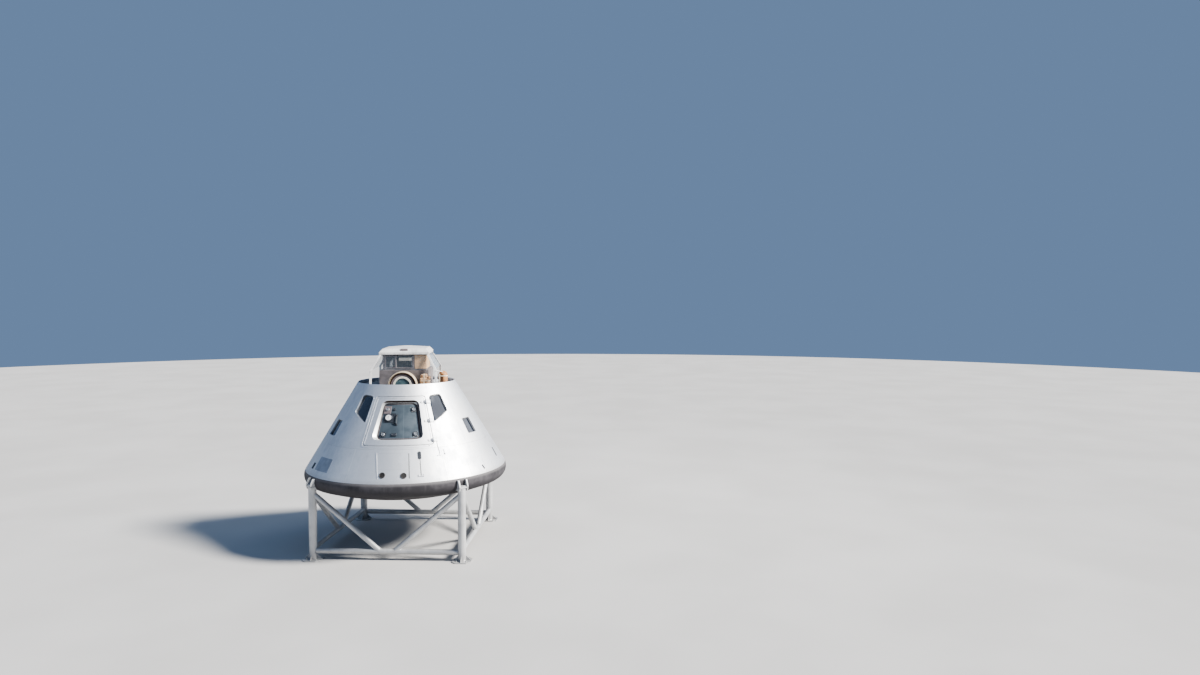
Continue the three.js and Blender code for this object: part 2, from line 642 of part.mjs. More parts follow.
// Post with its foot plate, gussets and, on top, the saddle that holds the rim
function post(sx, sy) {
  const column = bar(at(0, 0, 0), at(0, 0, POST_TOP), POST_R, 24);
  const [edge, cut] = [FOOT / 2, FOOT / 2 - FOOT_CORNER];
  const plan = [[-cut, -edge], [cut, -edge], [edge, -cut], [edge, cut]];
  const wholePlan = [...plan, ...plan.map(([x, y]) => [-x, -y])];
  const footShape = new THREE.Shape(wholePlan.map(([x, y]) => new THREE.Vector2(x, y)));
  const foot = solid(new THREE.ExtrudeGeometry(footShape, { depth: FOOT_THICK, bevelEnabled: false }));
  const gusset = uprightPlate(
    [
      [0, FOOT_THICK - GUSSET.sunk],
      [POST_R + GUSSET.out, FOOT_THICK - GUSSET.sunk],
      [POST_R + GUSSET.out, FOOT_THICK + GUSSET.toe],
      [POST_R, FOOT_THICK + GUSSET.tall],
      [0, FOOT_THICK + GUSSET.tall],
    ],
    GUSSET.thick,
  );
  const gussets = [0, 1, 2, 3].map((turns) => gusset.transform(quarter(turns)));
  const weldment = joined(column, foot, ...gussets).transform(shift(sx * STAND_HALF, sy * STAND_HALF, 0));
  return weldment.add(saddle(sx, sy)).subtract(shieldRoom);
}

function saddle(sx, sy) {
  const centreR = STAND_HALF * Math.SQRT2;
  const outer = centreR + POST_R;
  const cheekOutline = [
    [centreR - POST_R, SEAT_Z - CHEEK_DROP],
    [outer - CHEEK_OUT, SEAT_Z - CHEEK_DROP],
    [outer + CHEEK_OUT, SEAT_Z],
    [outer + CHEEK_OUT, SEAT_Z + CHEEK_BEND],
    [outer - CHEEK_IN, CHEEK_TOP],
    [centreR - POST_R, CHEEK_TOP],
  ];
  const cheek = uprightPlate(cheekOutline, CHEEK_THICK);
  const cheeks = [-CHEEK_OFFSET, CHEEK_OFFSET].map((y) => cheek.transform(shift(0, y, 0)));
  const seatHalf = CHEEK_OFFSET + CHEEK_THICK / 2;
  const seatSpan = [centreR - POST_R, outer + CHEEK_OUT];
  const seat = block(seatSpan, [-seatHalf, seatHalf], [SEAT_Z, SEAT_Z + SEAT_THICK]);
  return joined(seat, ...cheeks).transform(turn(Math.atan2(sy, sx)));
}

for (const [name, sx, sy] of CORNERS) stand.add(piece("stand_post_" + name, post(sx, sy), finishes.steel));

// Each side: a rail between its posts and two braces in a V down to the rail's middle
function railAndBraces(turns) {
  const railZ = turns % 2 ? RAIL_Z.along : RAIL_Z.across;
  const ends = [-STAND_HALF, STAND_HALF];
  const postRoom = ends.map((x) => bar(at(x, -STAND_HALF, 0), at(x, -STAND_HALF, SEAT_Z), POST_R + FIT, 24));
  const railLine = ends.map((x) => at(x, -STAND_HALF, railZ));
  const rail = bar(...railLine, RAIL_R).subtract(postRoom[0]).subtract(postRoom[1]);
  const railRoom = bar(...railLine, RAIL_R + FIT);
  const braces = [-1, 1].map((side, i) => {
    const top = at(side * STAND_HALF, -STAND_HALF, BRACE_TOP_Z);
    const foot = at(side * BRACE_FOOT.x, -STAND_HALF, railZ + BRACE_FOOT.above);
    return bar(top, foot, BRACE_R).subtract(postRoom[i]).subtract(railRoom);
  });
  return [rail, ...braces].map((made) => made.transform(quarter(turns)));
}
for (const [name, turns] of SIDES) {
  const [rail, braceLeft, braceRight] = railAndBraces(turns);
  stand.add(piece("stand_rail_" + name, rail, finishes.steel));
  stand.add(piece("stand_brace_" + name + "_left", braceLeft, finishes.steel));
  stand.add(piece("stand_brace_" + name + "_right", braceRight, finishes.steel));
}

const part = new THREE.Group();
part.add(stand);
part.add(capsule);

export default part;
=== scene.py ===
# %% [markdown]
# # A crew capsule on its display stand
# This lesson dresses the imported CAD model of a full-size cone-shaped capsule on a four-post stand. The CAD
# model fixes every size. Blender adds what the eye reads: rounded edges, seams, screws, seals, welds and
# finishes. Everything is in metres, with +Z up and the stand's front towards -Y.

import random
from math import asin, atan, atan2, ceil, cos, degrees, hypot, pi, radians, sin, sqrt, tau

import bmesh
import bpy
from mathutils import Matrix, Vector, kdtree, noise
from mathutils.bvhtree import BVHTree
from mathutils.geometry import convex_hull_2d, delaunay_2d_cdt


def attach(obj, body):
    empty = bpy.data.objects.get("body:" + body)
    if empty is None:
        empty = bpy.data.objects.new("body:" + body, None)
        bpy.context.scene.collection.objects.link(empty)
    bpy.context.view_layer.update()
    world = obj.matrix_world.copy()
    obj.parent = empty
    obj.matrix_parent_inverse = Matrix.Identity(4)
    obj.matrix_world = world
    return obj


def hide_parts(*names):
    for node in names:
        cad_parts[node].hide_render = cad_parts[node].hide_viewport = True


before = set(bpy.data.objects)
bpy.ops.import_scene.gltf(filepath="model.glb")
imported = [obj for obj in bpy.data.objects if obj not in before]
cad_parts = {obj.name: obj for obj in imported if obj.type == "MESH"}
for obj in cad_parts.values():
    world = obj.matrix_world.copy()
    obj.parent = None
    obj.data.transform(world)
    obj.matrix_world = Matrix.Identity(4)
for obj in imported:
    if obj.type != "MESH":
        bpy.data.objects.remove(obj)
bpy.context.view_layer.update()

# %% [markdown]
# ## The cone that everything lies on
# The capsule's skin is a plain cone. Hatch, windows, seams and fittings are all drawn on it with two numbers:
# a bearing in degrees from the hatch's middle, growing to the right, and a height. A third, the lift, goes
# square out of the skin. They could be modelled flat and bent with a modifier, but a function that
# turns the three numbers into a point puts each corner exactly where the CAD has it.

# %% Sizes of the cone, and points on it
YAW = 9.3  # the hatch is turned this far from the stand's front
BASE_R, BASE_Z = 1.930, 1.529
TOP_R, TOP_Z = 0.9355, 3.190
WALL = 0.072  # thickness of wall and hatch
LIP = 0.018  # the same above the forward deck
BELT_Z, DECK_Z = 2.080, 3.105
SLOPE = (BASE_R - TOP_R) / (TOP_Z - BASE_Z)
TILT = atan(SLOPE)


def skin_radius(z):
    return BASE_R - (z - BASE_Z) * SLOPE


def on_skin(bearing, z, lift=0.0):
    angle = radians(bearing + YAW)
    r = skin_radius(z) + lift * cos(TILT)
    return Vector((r * sin(angle), -r * cos(angle), z + lift * sin(TILT)))


def skin_frame(bearing, z, lift=0.0):
    """Place of a fitting: x to the right, y up the slope, z straight out of the skin."""
    angle = radians(bearing + YAW)
    right = Vector((cos(angle), sin(angle), 0))
    out = Vector((sin(angle) * cos(TILT), -cos(angle) * cos(TILT), sin(TILT)))
    turn = Matrix((right, out.cross(right), out)).transposed().to_4x4()
    return Matrix.Translation(on_skin(bearing, z, lift)) @ turn


print("radius at the belt", round(skin_radius(BELT_Z), 4), "slope", round(degrees(TILT), 1), "degrees")

# %% [markdown]
# ## Outlines with round corners
# A door or a window is cut with a rounded outline. Each corner has its own radius, so that the forward
# windows get sharp lower corners under soft upper ones. The outline is then split into short steps, because a
# straight line between two bearings would cut through the curved wall. Growing an outline by a few
# millimetres gives the seams, seals and frames that follow it.

# %% Rounded, stepped and grown outlines
CORNER_STEPS = 8
STEP_ACROSS = 0.035  # longest step along an outline
SLOPE_LENGTH = 1 / cos(TILT)  # metres along the skin for a metre of height


def pairs(items, closed=True):
    """Each item with the next, and the last with the first where it is closed."""
    return zip(items, items[1:] + (items[:1] if closed else []))


def apart(a, b):
    across = radians(b[0] - a[0]) * skin_radius((a[1] + b[1]) / 2)
    return hypot(across, (b[1] - a[1]) * SLOPE_LENGTH)


def mixed(a, b, t):
    return (a[0] + (b[0] - a[0]) * t, a[1] + (b[1] - a[1]) * t)


def rounded(corners):
    """Outline of (bearing, height, radius) corners."""
    outline = []
    for i, corner in enumerate(corners):
        start, end = [mixed(corner, other, corner[2] / apart(corner, other))
                      for other in (corners[i - 1], corners[(i + 1) % len(corners)])]
        for k in range(CORNER_STEPS + 1):
            t = k / CORNER_STEPS
            outline.append(mixed(mixed(start, corner, t), mixed(corner, end, t), t))
    return outline


def stepped(outline, step=STEP_ACROSS):
    fine = []
    for a, b in pairs(outline):
        parts = max(1, ceil(apart(a, b) / step))
        fine += [mixed(a, b, k / parts) for k in range(parts)]
    return fine


def grown(outline, by):
    """The same outline, moved outwards by a distance along the skin."""
    anticlockwise = sum(a[0] * b[1] - b[0] * a[1] for a, b in pairs(outline)) > 0
    by, moved = by if anticlockwise else -by, []
    for i, (bearing, z) in enumerate(outline):
        a, b = outline[i - 1], outline[(i + 1) % len(outline)]
        r = skin_radius(z)
        dx, dy = radians(b[0] - a[0]) * r, (b[1] - a[1]) * SLOPE_LENGTH
        length = hypot(dx, dy)
        moved.append((bearing + degrees(by * dy / length / r), z + -by * dx / length / SLOPE_LENGTH))
    return moved


def four_sided(left, right, low, high, corner):
    return rounded([(left, low, corner), (right, low, corner), (right, high, corner), (left, high, corner)])


def door(half, low, high, corner):
    return four_sided(-half, half, low, high, corner)


hatch_edge = door(24, 2.145, 2.975, 0.055)
print("hatch outline", len(hatch_edge), "points")

# %% [markdown]
# ## Pieces from mesh data
# Every piece ends the same way: its modifiers are applied, faces that meet gently are shaded smooth and the
# real edges stay crisp. A bevel of a millimetre or two catches a line of light along each edge, which is what
# tells the eye that a panel has a thickness. Weighted normals keep the wide faces flat beside it.

# %% Make, bevel and shade a piece
SMOOTH_ANGLE, BEVEL_ANGLE = 32, 38  # degrees between faces, below which an edge is soft or has no bevel


def as_object(bm, name="part"):
    mesh = bpy.data.meshes.new(name)
    bm.to_mesh(mesh)
    bm.free()
    made = bpy.data.objects.new(name, mesh)
    bpy.context.scene.collection.objects.link(made)
    return made


def solid(bm, place=None):
    """Part with its faces turned outwards, moved to its place."""
    bmesh.ops.recalc_face_normals(bm, faces=bm.faces)
    if place:
        bmesh.ops.transform(bm, matrix=place, verts=bm.verts)
    return as_object(bm)


def modified(piece, kind, **settings):
    modifier = piece.modifiers.new(kind.lower(), kind)
    for key, value in settings.items():
        setattr(modifier, key, value)
    return modifier


def applied(piece):
    """Turns the modifiers into plain mesh."""
    bpy.context.view_layer.update()
    seen = piece.evaluated_get(bpy.context.evaluated_depsgraph_get())
    mesh = bpy.data.meshes.new_from_object(seen)
    piece.modifiers.clear()
    old, piece.data = piece.data, mesh
    bpy.data.meshes.remove(old)
    return piece


def settle(piece, smooth=SMOOTH_ANGLE):
    """Smooth shading with crisp edges, the wide faces weighing most."""
    applied(piece)
    piece.data.shade_smooth()
    piece.data.set_sharp_from_angle(angle=radians(smooth))
    modified(piece, "WEIGHTED_NORMAL", keep_sharp=True)
    return applied(piece)


def bevelled(piece, width, segments=2):
    modified(piece, "BEVEL", width=width, segments=segments, limit_method="ANGLE", angle_limit=radians(BEVEL_ANGLE))
    return settle(piece)


def joined(parts, name="part"):
    """One piece of several, each already in place."""
    bm = bmesh.new()
    for part in parts:
        bm.from_mesh(part.data)
        bpy.data.objects.remove(part)
    return as_object(bm, name)


# %% [markdown]
# ## Solids wrapped on the cone
# A wall panel is a sheet with holes, as thick as the wall. Cutting a cone with booleans leaves long
# splinters that shade badly. Here the pattern is drawn flat, filled with even triangles by a Delaunay
# triangulation, and then each point is put on the cone twice, at an outer and an inner lift. The two sheets are
# joined along every border, so the same function makes walls, seals, frames, panes and patches.

# %% Wrap a flat pattern between two lifts
GRID_DEGREES, GRID_HEIGHT = 2.5, 0.11
CLEAR_OF_LOOPS = 0.012
FLAT_R = 1.5  # radius that turns a bearing into a flat distance


def inside(point, outline):
    x, y = point
    hit = False
    for (x0, y0), (x1, y1) in pairs(outline):
        if (y0 > y) != (y1 > y) and x < (x1 - x0) * (y - y0) / (y1 - y0) + x0:
            hit = not hit
    return hit


def nearest(loop, radius):
    """Function that gives the distance from a spot to the points of a loop."""
    tree = kdtree.KDTree(len(loop))
    for i, (bearing, z) in enumerate(loop):
        tree.insert((radians(bearing) * radius(z), z, 0), i)
    tree.balance()
    return lambda bearing, z: tree.find((radians(bearing) * radius(z), z, 0))[2]


def grid_points(outline, spots, grid, rows):
    """Even points inside an outline, kept clear of the loops' spots."""
    away = nearest(spots, skin_radius)
    (left, right), (low, high) = [(min(values), max(values)) for values in zip(*outline)]
    across = max(1, ceil((right - left) / grid))
    up = max(1, ceil((high - low) / GRID_HEIGHT))
    heights = [low + (high - low) * j / up for j in range(1, up)] + list(rows)
    found = [(left + (right - left) * i / across, z) for z in heights for i in range(1, across)]
    return [spot for spot in found if away(*spot) > CLEAR_OF_LOOPS]


def wrapped(outline, holes=(), outer=0.0, inner=-0.01, under=None, rows=(), grid=GRID_DEGREES):
    """Solid of a pattern on the cone, between two lifts; the inner one may be a function of height."""
    loops = [stepped(loop) for loop in (outline, *holes)]
    edges, spots = [], []
    for loop in loops:
        edges += pairs(list(range(len(spots), len(spots) + len(loop))))
        spots += loop
    spots += grid_points(outline, spots, grid, rows)
    middle = (min(b for b, _ in outline) + max(b for b, _ in outline)) / 2
    flat = [Vector((radians(b - middle) * FLAT_R, z * SLOPE_LENGTH)) for b, z in spots]
    points, _, faces, *_ = delaunay_2d_cdt(flat, edges, [], 1, 1e-6)
    placed = [(degrees(p.x / FLAT_R) + middle, p.y / SLOPE_LENGTH) for p in points]

    def filled(face):
        centre = [sum(placed[i][k] for i in face) / len(face) for k in (0, 1)]
        return inside(centre, loops[0]) and not any(inside(centre, loop) for loop in loops[1:])

    kept = [face for face in faces if filled(face)]
    deep = inner if callable(inner) else lambda z: inner
    below = under or (lambda b, z: (b, z))
    bm = bmesh.new()
    top = {i: bm.verts.new(on_skin(*placed[i], outer)) for face in kept for i in face}
    low = {i: bm.verts.new(on_skin(*below(*placed[i]), deep(placed[i][1]))) for i in top}
    border = {}
    for face in kept:
        bm.faces.new([top[i] for i in face])
        bm.faces.new([low[i] for i in reversed(face)])
        for a, b in pairs(list(face)):
            if not border.pop((b, a), False):
                border[(a, b)] = True
    for a, b in border:
        bm.faces.new((top[a], low[a], low[b], top[b]))
    return solid(bm)


sample = wrapped(hatch_edge)
print("a hatch-sized sheet has", len(sample.data.polygons), "faces")
bpy.data.objects.remove(sample)

# %% [markdown]
# ## Turned pieces, tubes and plates
# Three more makers cover the rest. A profile turned round an axis gives rings, vents and the heat shield. A tube
# along points gives bars and beads. A flat outline with a thickness gives brackets, gussets and covers. All of
# them come down to rings of points with faces between, so one function makes those faces.

# %% Turn a profile, lay a tube, cut a plate
def shift(x=0, y=0, z=0):
    return Matrix.Translation((x, y, z))


def spin(turn, axis="Z"):
    return Matrix.Rotation(radians(turn), 4, axis)


def angles(count):
    return [tau * i / count for i in range(count)]


def circle(r, count=32):
    return [(r * cos(t), r * sin(t)) for t in angles(count)]


def quads(bm, low, high):
    """Faces between two rings; a ring of one point closes them to a fan."""
    count = max(len(low), len(high))
    low, high = [ring * (count // len(ring)) for ring in (low, high)]
    for (a, b), (d, c) in zip(pairs(low), pairs(high)):
        bm.faces.new(list(dict.fromkeys((a, b, c, d))))


def ringed(rings, closed=False, place=None, caps=True):
    """Solid through rings of points, closed in a circle or capped at both ends."""
    bm = bmesh.new()
    rings = [[bm.verts.new(point) for point in ring] for ring in rings]
    for low, high in pairs(rings, closed):
        quads(bm, low, high)
    if caps and not closed:
        bm.faces.new(rings[0])
        bm.faces.new(rings[-1])
    return solid(bm, place)


def turned(profile, sides=96, place=None):
    """Profile of (radius, height) points turned round z; ends on the axis close it, others join up."""
    rings = [[(x, y, z) for x, y in circle(r, sides)] if r else [(0, 0, z)] for r, z in profile]
    return ringed(rings, profile[0][0] > 0 and profile[-1][0] > 0, place, caps=False)


def drum(radius, low, high):
    """Profile of a plain disc or cylinder."""
    return [(0, low), (radius, low), (radius, high), (0, high)]


def tube(points, radius, sides=16, closed=False):
    """Round bar along points, with square ends."""
    side, rings = None, []
    for i, point in enumerate(points):
        before = points[i - 1] if closed or i else point
        after = points[(i + 1) % len(points)] if closed or i < len(points) - 1 else point
        along = (after - before).normalized()
        side = side or along.orthogonal()
        side = (side - along * side.dot(along)).normalized()
        other = along.cross(side)
        rings.append([point + radius * (side * cos(t) + other * sin(t)) for t in angles(sides)])
    return ringed(rings, closed)


def plate(outline, thick, place=None, width=0.0):
    """Flat (x, y) outline from z = 0 up to a thickness, its edges bevelled where a width is given."""
    bm = bmesh.new()
    low, high = [[bm.verts.new((x, y, z)) for x, y in outline] for z in (0, thick)]
    bm.faces.new(low)
    bm.faces.new(high)
    quads(bm, low, high)
    made = solid(bm, place)
    return bevelled(made, width) if width else made


def rectangle(x0, x1, y0, y1):
    return [(x0, y0), (x1, y0), (x1, y1), (x0, y1)]


def box(xs, ys, zs, place=Matrix(), width=0.002):
    """Box between x, y and z limits; a single number stands for the same distance to both sides."""
    xs, ys = [span if isinstance(span, tuple) else (-span, span) for span in (xs, ys)]
    return plate(rectangle(*xs, *ys), zs[1] - zs[0], place @ shift(z=zs[0]), width)


print("makers ready; a turned disc has", len(circle(1)), "sides if nothing else is asked")

# %% [markdown]
# ## Writing a finish in nodes
# A finish is a small network of nodes that ends in one shader. Typing each node and link by hand takes pages,
# so a short helper adds a node, sets it and links it in one call. Textures read the object coordinates, which
# are metres here, so a grain of three millimetres stays three millimetres on every piece. Wear is the same
# everywhere: a mask picks the places, and the mask mixes two colours and two roughnesses.

# %% A helper that builds finishes
class Finish:
    def __init__(self, name, roughness=0.5, metallic=0.0, specular=0.5):
        self.material = bpy.data.materials.new(name)
        self.material.use_nodes = True
        self.tree = self.material.node_tree
        self.shader = self.tree.nodes["Principled BSDF"]
        self.put("Roughness", roughness).put("Metallic", metallic).put("Specular IOR Level", specular)
        self.place = self.add("ShaderNodeTexCoord").outputs["Object"]

    def add(self, kind, sockets=None, **settings):
        node = self.tree.nodes.new(kind)
        for key, value in settings.items():
            setattr(node, key, value)
        for key, value in (sockets or {}).items():
            self.fill(node.inputs[key], value)
        return node

    def fill(self, socket, value):
        if isinstance(value, bpy.types.NodeSocket):
            self.tree.links.new(value, socket)
        else:
            socket.default_value = value

    def put(self, name, value):
        self.fill(self.shader.inputs[name], value)
        return self

    def noise(self, scale, detail=4.0, rough=0.6, stretch=None, twist=0.0):
        """Cloudy value around 0.5, its grains about 1 / scale metres across."""
        place = self.place
        if stretch:
            place = self.add("ShaderNodeMapping", {"Vector": place, "Scale": stretch}).outputs[0]
        sockets = {"Vector": place, "Scale": scale, "Detail": detail, "Roughness": rough, "Distortion": twist}
        return self.add("ShaderNodeTexNoise", sockets).outputs["Fac"]

    def ramp(self, value, low, high, start=0.0, end=1.0, kind="SMOOTHSTEP"):
        """Maps low..high of a value to start..end, and holds the ends."""
        sockets = {"Value": value, "From Min": low, "From Max": high, "To Min": start, "To Max": end}
        return self.add("ShaderNodeMapRange", sockets, interpolation_type=kind).outputs["Result"]

    def sum(self, *values, operation="ADD"):
        total = values[0]
        for value in values[1:]:
            total = self.add("ShaderNodeMath", {0: total, 1: value}, operation=operation).outputs[0]
        return total

    def times(self, *values):
        return self.sum(*values, operation="MULTIPLY")

    def blend(self, fac, a, b):
        node = self.add("ShaderNodeMix", {0: fac}, data_type="RGBA")
        for index, value in ((6, a), (7, b)):  # the colour sockets
            self.fill(node.inputs[index], value if isinstance(value, bpy.types.NodeSocket) else (*value, 1))
        return node.outputs[2]

    def over(self, colour, paint, *masks):
        """The colour with a paint laid over it where all of the masks say so."""
        return self.blend(self.times(*masks), colour, paint)

    def tones(self, cloud, low, high, a, b):
        return self.blend(self.ramp(cloud, low, high), a, b)

    def split(self):
        return self.add("ShaderNodeSeparateXYZ", {0: self.place}).outputs

    def bearing(self):
        """Bearing from the hatch, in degrees."""
        x, y, _ = self.split()
        angle = self.sum(x, self.times(y, -1.0), operation="ARCTAN2")
        return self.sum(self.times(angle, 57.29578), -YAW)

    def depth(self):
        """Level distance in from the skin, in metres."""
        x, y, z = self.split()
        r = self.sum(self.sum(self.times(x, x), self.times(y, y)), 0.5, operation="POWER")
        return self.sum(self.times(z, -SLOPE), BASE_R + BASE_Z * SLOPE, self.times(r, -1.0))

    def window(self, value, low, high, soft):
        """1 between low and high, fading over a soft edge outside them."""
        return self.times(self.ramp(value, low - soft, low), self.ramp(value, high, high + soft, 1.0, 0.0))

    def bump(self, height, distance, strength=1.0, over=None):
        sockets = {"Height": height, "Distance": distance, "Strength": strength}
        if over:
            sockets["Normal"] = over
        return self.add("ShaderNodeBump", sockets).outputs["Normal"]

    def done(self, colour, normal, rough=None):
        self.put("Base Color", colour).put("Normal", normal)
        if rough:
            self.put("Roughness", rough)
        return self.material


def clouded(name, grain, low, high, light, dull, fine, shine=None, coarse=0.6, **shader):
    """Two colours mixed by a cloud, a (scale, detail, roughness, distance, strength) bump, and a roughness span."""
    made = Finish(name, **shader)
    cloud = made.noise(grain, 4, coarse)
    bump = made.bump(made.noise(*fine[:3]), *fine[3:])
    return made.done(made.tones(cloud, low, high, light, dull), bump, shine and made.ramp(cloud, 0.3, 0.7, *shine))


def dress(name, parts, finish, slot, *replaced, body="root", width=None, segments=2):
    """Names a piece, bevels it by a width (None only shades it, 0 leaves it), gives it a finish and hangs it on its
    body; the slot is not used.
    """
    piece = joined(parts) if isinstance(parts, list) else parts
    if width:
        bevelled(piece, width, segments)
    elif width is None:
        settle(piece)
    piece.name = piece.data.name = name
    piece.data.materials.clear()
    piece.data.materials.append(finish)
    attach(piece, body)
    if replaced:
        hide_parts(*replaced)
    print(name, len(piece.data.polygons), "faces")
    return piece


# %% [markdown]
# ## Skin: silvery white satin
# The wall is painted metal with the look of old foil: near white in the light, and a soft blue grey in the
# shade, where it mirrors the sky. A plain white paint would stay flat in the shade, so the shader is partly
# metallic with a satin roughness. Three layers of noise keep it from looking new: large pale clouds,
# streaks that run down the slope, and a fine grain. A weak bump makes the panels ripple a little. The same
# panels show their inner face through the open hatch, so a mask on the depth below the skin turns that face
# into a matt pale lining.

# %% Skin finish
SKIN_LIGHT, SKIN_DULL, SKIN_GRIME = (0.80, 0.805, 0.81), (0.68, 0.70, 0.725), (0.46, 0.44, 0.42)
LINING, LINING_TOP = (0.64, 0.66, 0.63), (0.20, 0.205, 0.205)  # inside the cabin, and above the deck


def skin_finish(name, light=SKIN_LIGHT, dull=SKIN_DULL, metal=0.82, lined=False, reveal=False):
    skin = Finish(name, metallic=metal)
    clouds, grain = skin.noise(2.3, 5), skin.noise(160, 3)
    streaks = skin.noise(9.0, stretch=(1, 1, 0.12))
    mottle = skin.sum(skin.times(clouds, 0.65), skin.times(streaks, 0.35))
    colour = skin.tones(mottle, 0.40, 0.62, light, dull)
    colour = skin.over(colour, SKIN_GRIME, skin.ramp(streaks, 0.56, 0.74), skin.ramp(clouds, 0.42, 0.6), 0.22)
    z = skin.split()[2]
    if lined or reveal:
        depth, bearing = skin.depth(), skin.bearing()
    colour = skin.over(colour, SKIN_GRIME, skin.ramp(z, 1.60, 1.53), skin.ramp(grain, 0.35, 0.6, 0.15, 0.4))
    if lined:  # the dark reveal of the left side window, and the inner face
        # painted shade: the reveals left of bearing -30, round the left windows, are darkened
        colour = skin.over(colour, (0.30, 0.35, 0.42), skin.ramp(depth, 0.003, 0.008), skin.ramp(bearing, -30, -32))
        within = skin.ramp(depth, 0.060, 0.066)
        colour = skin.over(colour, skin.tones(z, 3.085, 3.095, LINING, LINING_TOP), within)
        skin.put("Metallic", skin.ramp(within, 0, 1, metal, 0.05))
    if reveal:  # the shaded right side and top of the hatch's recess, with a paler step
        # painted shade: the right side and the top of the recess are painted dark, with a paler painted step at the
        # top
        inner = skin.times(skin.ramp(depth, 0.004, 0.007), skin.window(bearing, -16.2, 19, 0.8))
        colour = skin.over(colour, (0.21, 0.20, 0.21), inner, skin.ramp(bearing, 15.4, 16.0))
        high = skin.ramp(z, 2.855, 2.875)
        shaded = skin.times(inner, high)
        colour = skin.over(colour, (0.060, 0.045, 0.042), shaded)
        colour = skin.over(colour, (0.26, 0.225, 0.235), skin.times(high, skin.ramp(depth, 0.046, 0.050)), shaded)
    rough = skin.sum(skin.ramp(mottle, 0.35, 0.65, 0.45, 0.56), skin.times(grain, 0.06))
    ripple = skin.bump(skin.noise(5.5, 3, 0.5), 0.006, 0.35)
    skin.put("Coat Weight", 0.12).put("Coat Roughness", 0.25)
    return skin.done(colour, skin.bump(grain, 0.0004, 0.4, ripple), rough)


skin_paint = skin_finish("skin_satin", lined=True)
print("skin nodes", len(skin_paint.node_tree.nodes))

# %% [markdown]
# ## Heat shield
# Below the cone sits a shallow dish whose edge rolls round into a thick rim. It is a body of revolution, so one
# profile turned in 180 steps gives it. The profile repeats the CAD's two radii and adds a rounded top corner. On
# the real object it is a moulded ablator, darker and rougher than the skin. Rain has left pale runs down the roll.
# The upper shoulder is paler, with dust and a painted highlight, and the underside is darker, with painted shade.
# The mask for the runs is a noise stretched down the slope, and the shoulder is a ramp on the height.

# %% Heat shield
RIM_R, RIM_CENTRE_R, RIM_CENTRE_Z = 0.190, 1.765, 1.430
SHIELD_R, SHIELD_TOP_Z = 5.300, 1.525
SHIELD_GREY, SHIELD_DUST_AND_HIGHLIGHT, SHIELD_DARK = (0.088, 0.083, 0.090), (0.165, 0.158, 0.160), (0.034, 0.032, 0.036)
DISH_STEPS, RIM_STEPS = 14, 22


def shield_profile():
    reach = SHIELD_R - RIM_R
    dish_z = RIM_CENTRE_Z + sqrt(reach**2 - RIM_CENTRE_R**2)
    meet = asin(RIM_CENTRE_R / reach)
    end = asin((SHIELD_TOP_Z - RIM_CENTRE_Z) / RIM_R) - 0.02
    turns = [meet * i / DISH_STEPS for i in range(DISH_STEPS + 1)]
    dish = [(SHIELD_R * sin(t), dish_z - SHIELD_R * cos(t)) for t in turns]
    turns = [meet - pi / 2 + (end - meet + pi / 2) * i / RIM_STEPS for i in range(1, RIM_STEPS + 1)]
    rim = [(RIM_CENTRE_R + RIM_R * cos(t), RIM_CENTRE_Z + RIM_R * sin(t)) for t in turns]
    return [*dish, *rim, (rim[-1][0] - 0.004, SHIELD_TOP_Z), (0, SHIELD_TOP_Z)]


ablator = Finish("shield_paint", specular=0.35)
cloud, grit = ablator.noise(3.1, 6, 0.62), ablator.noise(210, 4, 0.7)
runs = ablator.noise(14, stretch=(1, 1, 0.07))
height = ablator.split()[2]
tone = ablator.tones(cloud, 0.35, 0.68, SHIELD_DARK, SHIELD_GREY)
tone = ablator.over(tone, SHIELD_DUST_AND_HIGHLIGHT, ablator.ramp(runs, 0.5, 0.75), 0.16)
# painted shade: the underside of the rim and the dish below it are darkened
tone = ablator.over(tone, SHIELD_DARK, ablator.ramp(height, 1.43, 1.33), 0.75)
# pale dust on the upper shoulder, which is also a painted highlight where light falls on the roll
tone = ablator.over(tone, SHIELD_DUST_AND_HIGHLIGHT, ablator.ramp(height, 1.46, 1.515), ablator.ramp(grit, 0.3, 0.6, 0.45, 0.9))
pits = ablator.bump(ablator.noise(28), 0.002, 0.35, ablator.bump(grit, 0.0012, 0.5))
shield_paint = ablator.done(tone, pits, ablator.ramp(cloud, 0.3, 0.7, 0.55, 0.78))
dress("heat_shield_shell", turned(shield_profile(), 180), shield_paint, "shield", "heat_shield")

# %% [markdown]
# ## Wall panels
# The wall is eight panels, four below the belt seam and four above it. The upper front one has the hatchway and
# both forward windows cut out, the two beside it a side window each. The lower front one has two narrow slots.
# Each panel is a wrapped solid. The upper ones are thin above the forward deck, so their inner lift
# is a function of height, with two extra rows of points that keep the ledge crisp.

# %% Cut the wall panels
SEAM = 0.0006  # half of the gap between panels
LEDGE = (3.1135, 3.1145)
SLOTS = [(7.3, 1.610, 2.015), (13.8, 1.640, 2.005)]  # bearing, low, high
SLOT_HALF = 0.22  # degrees

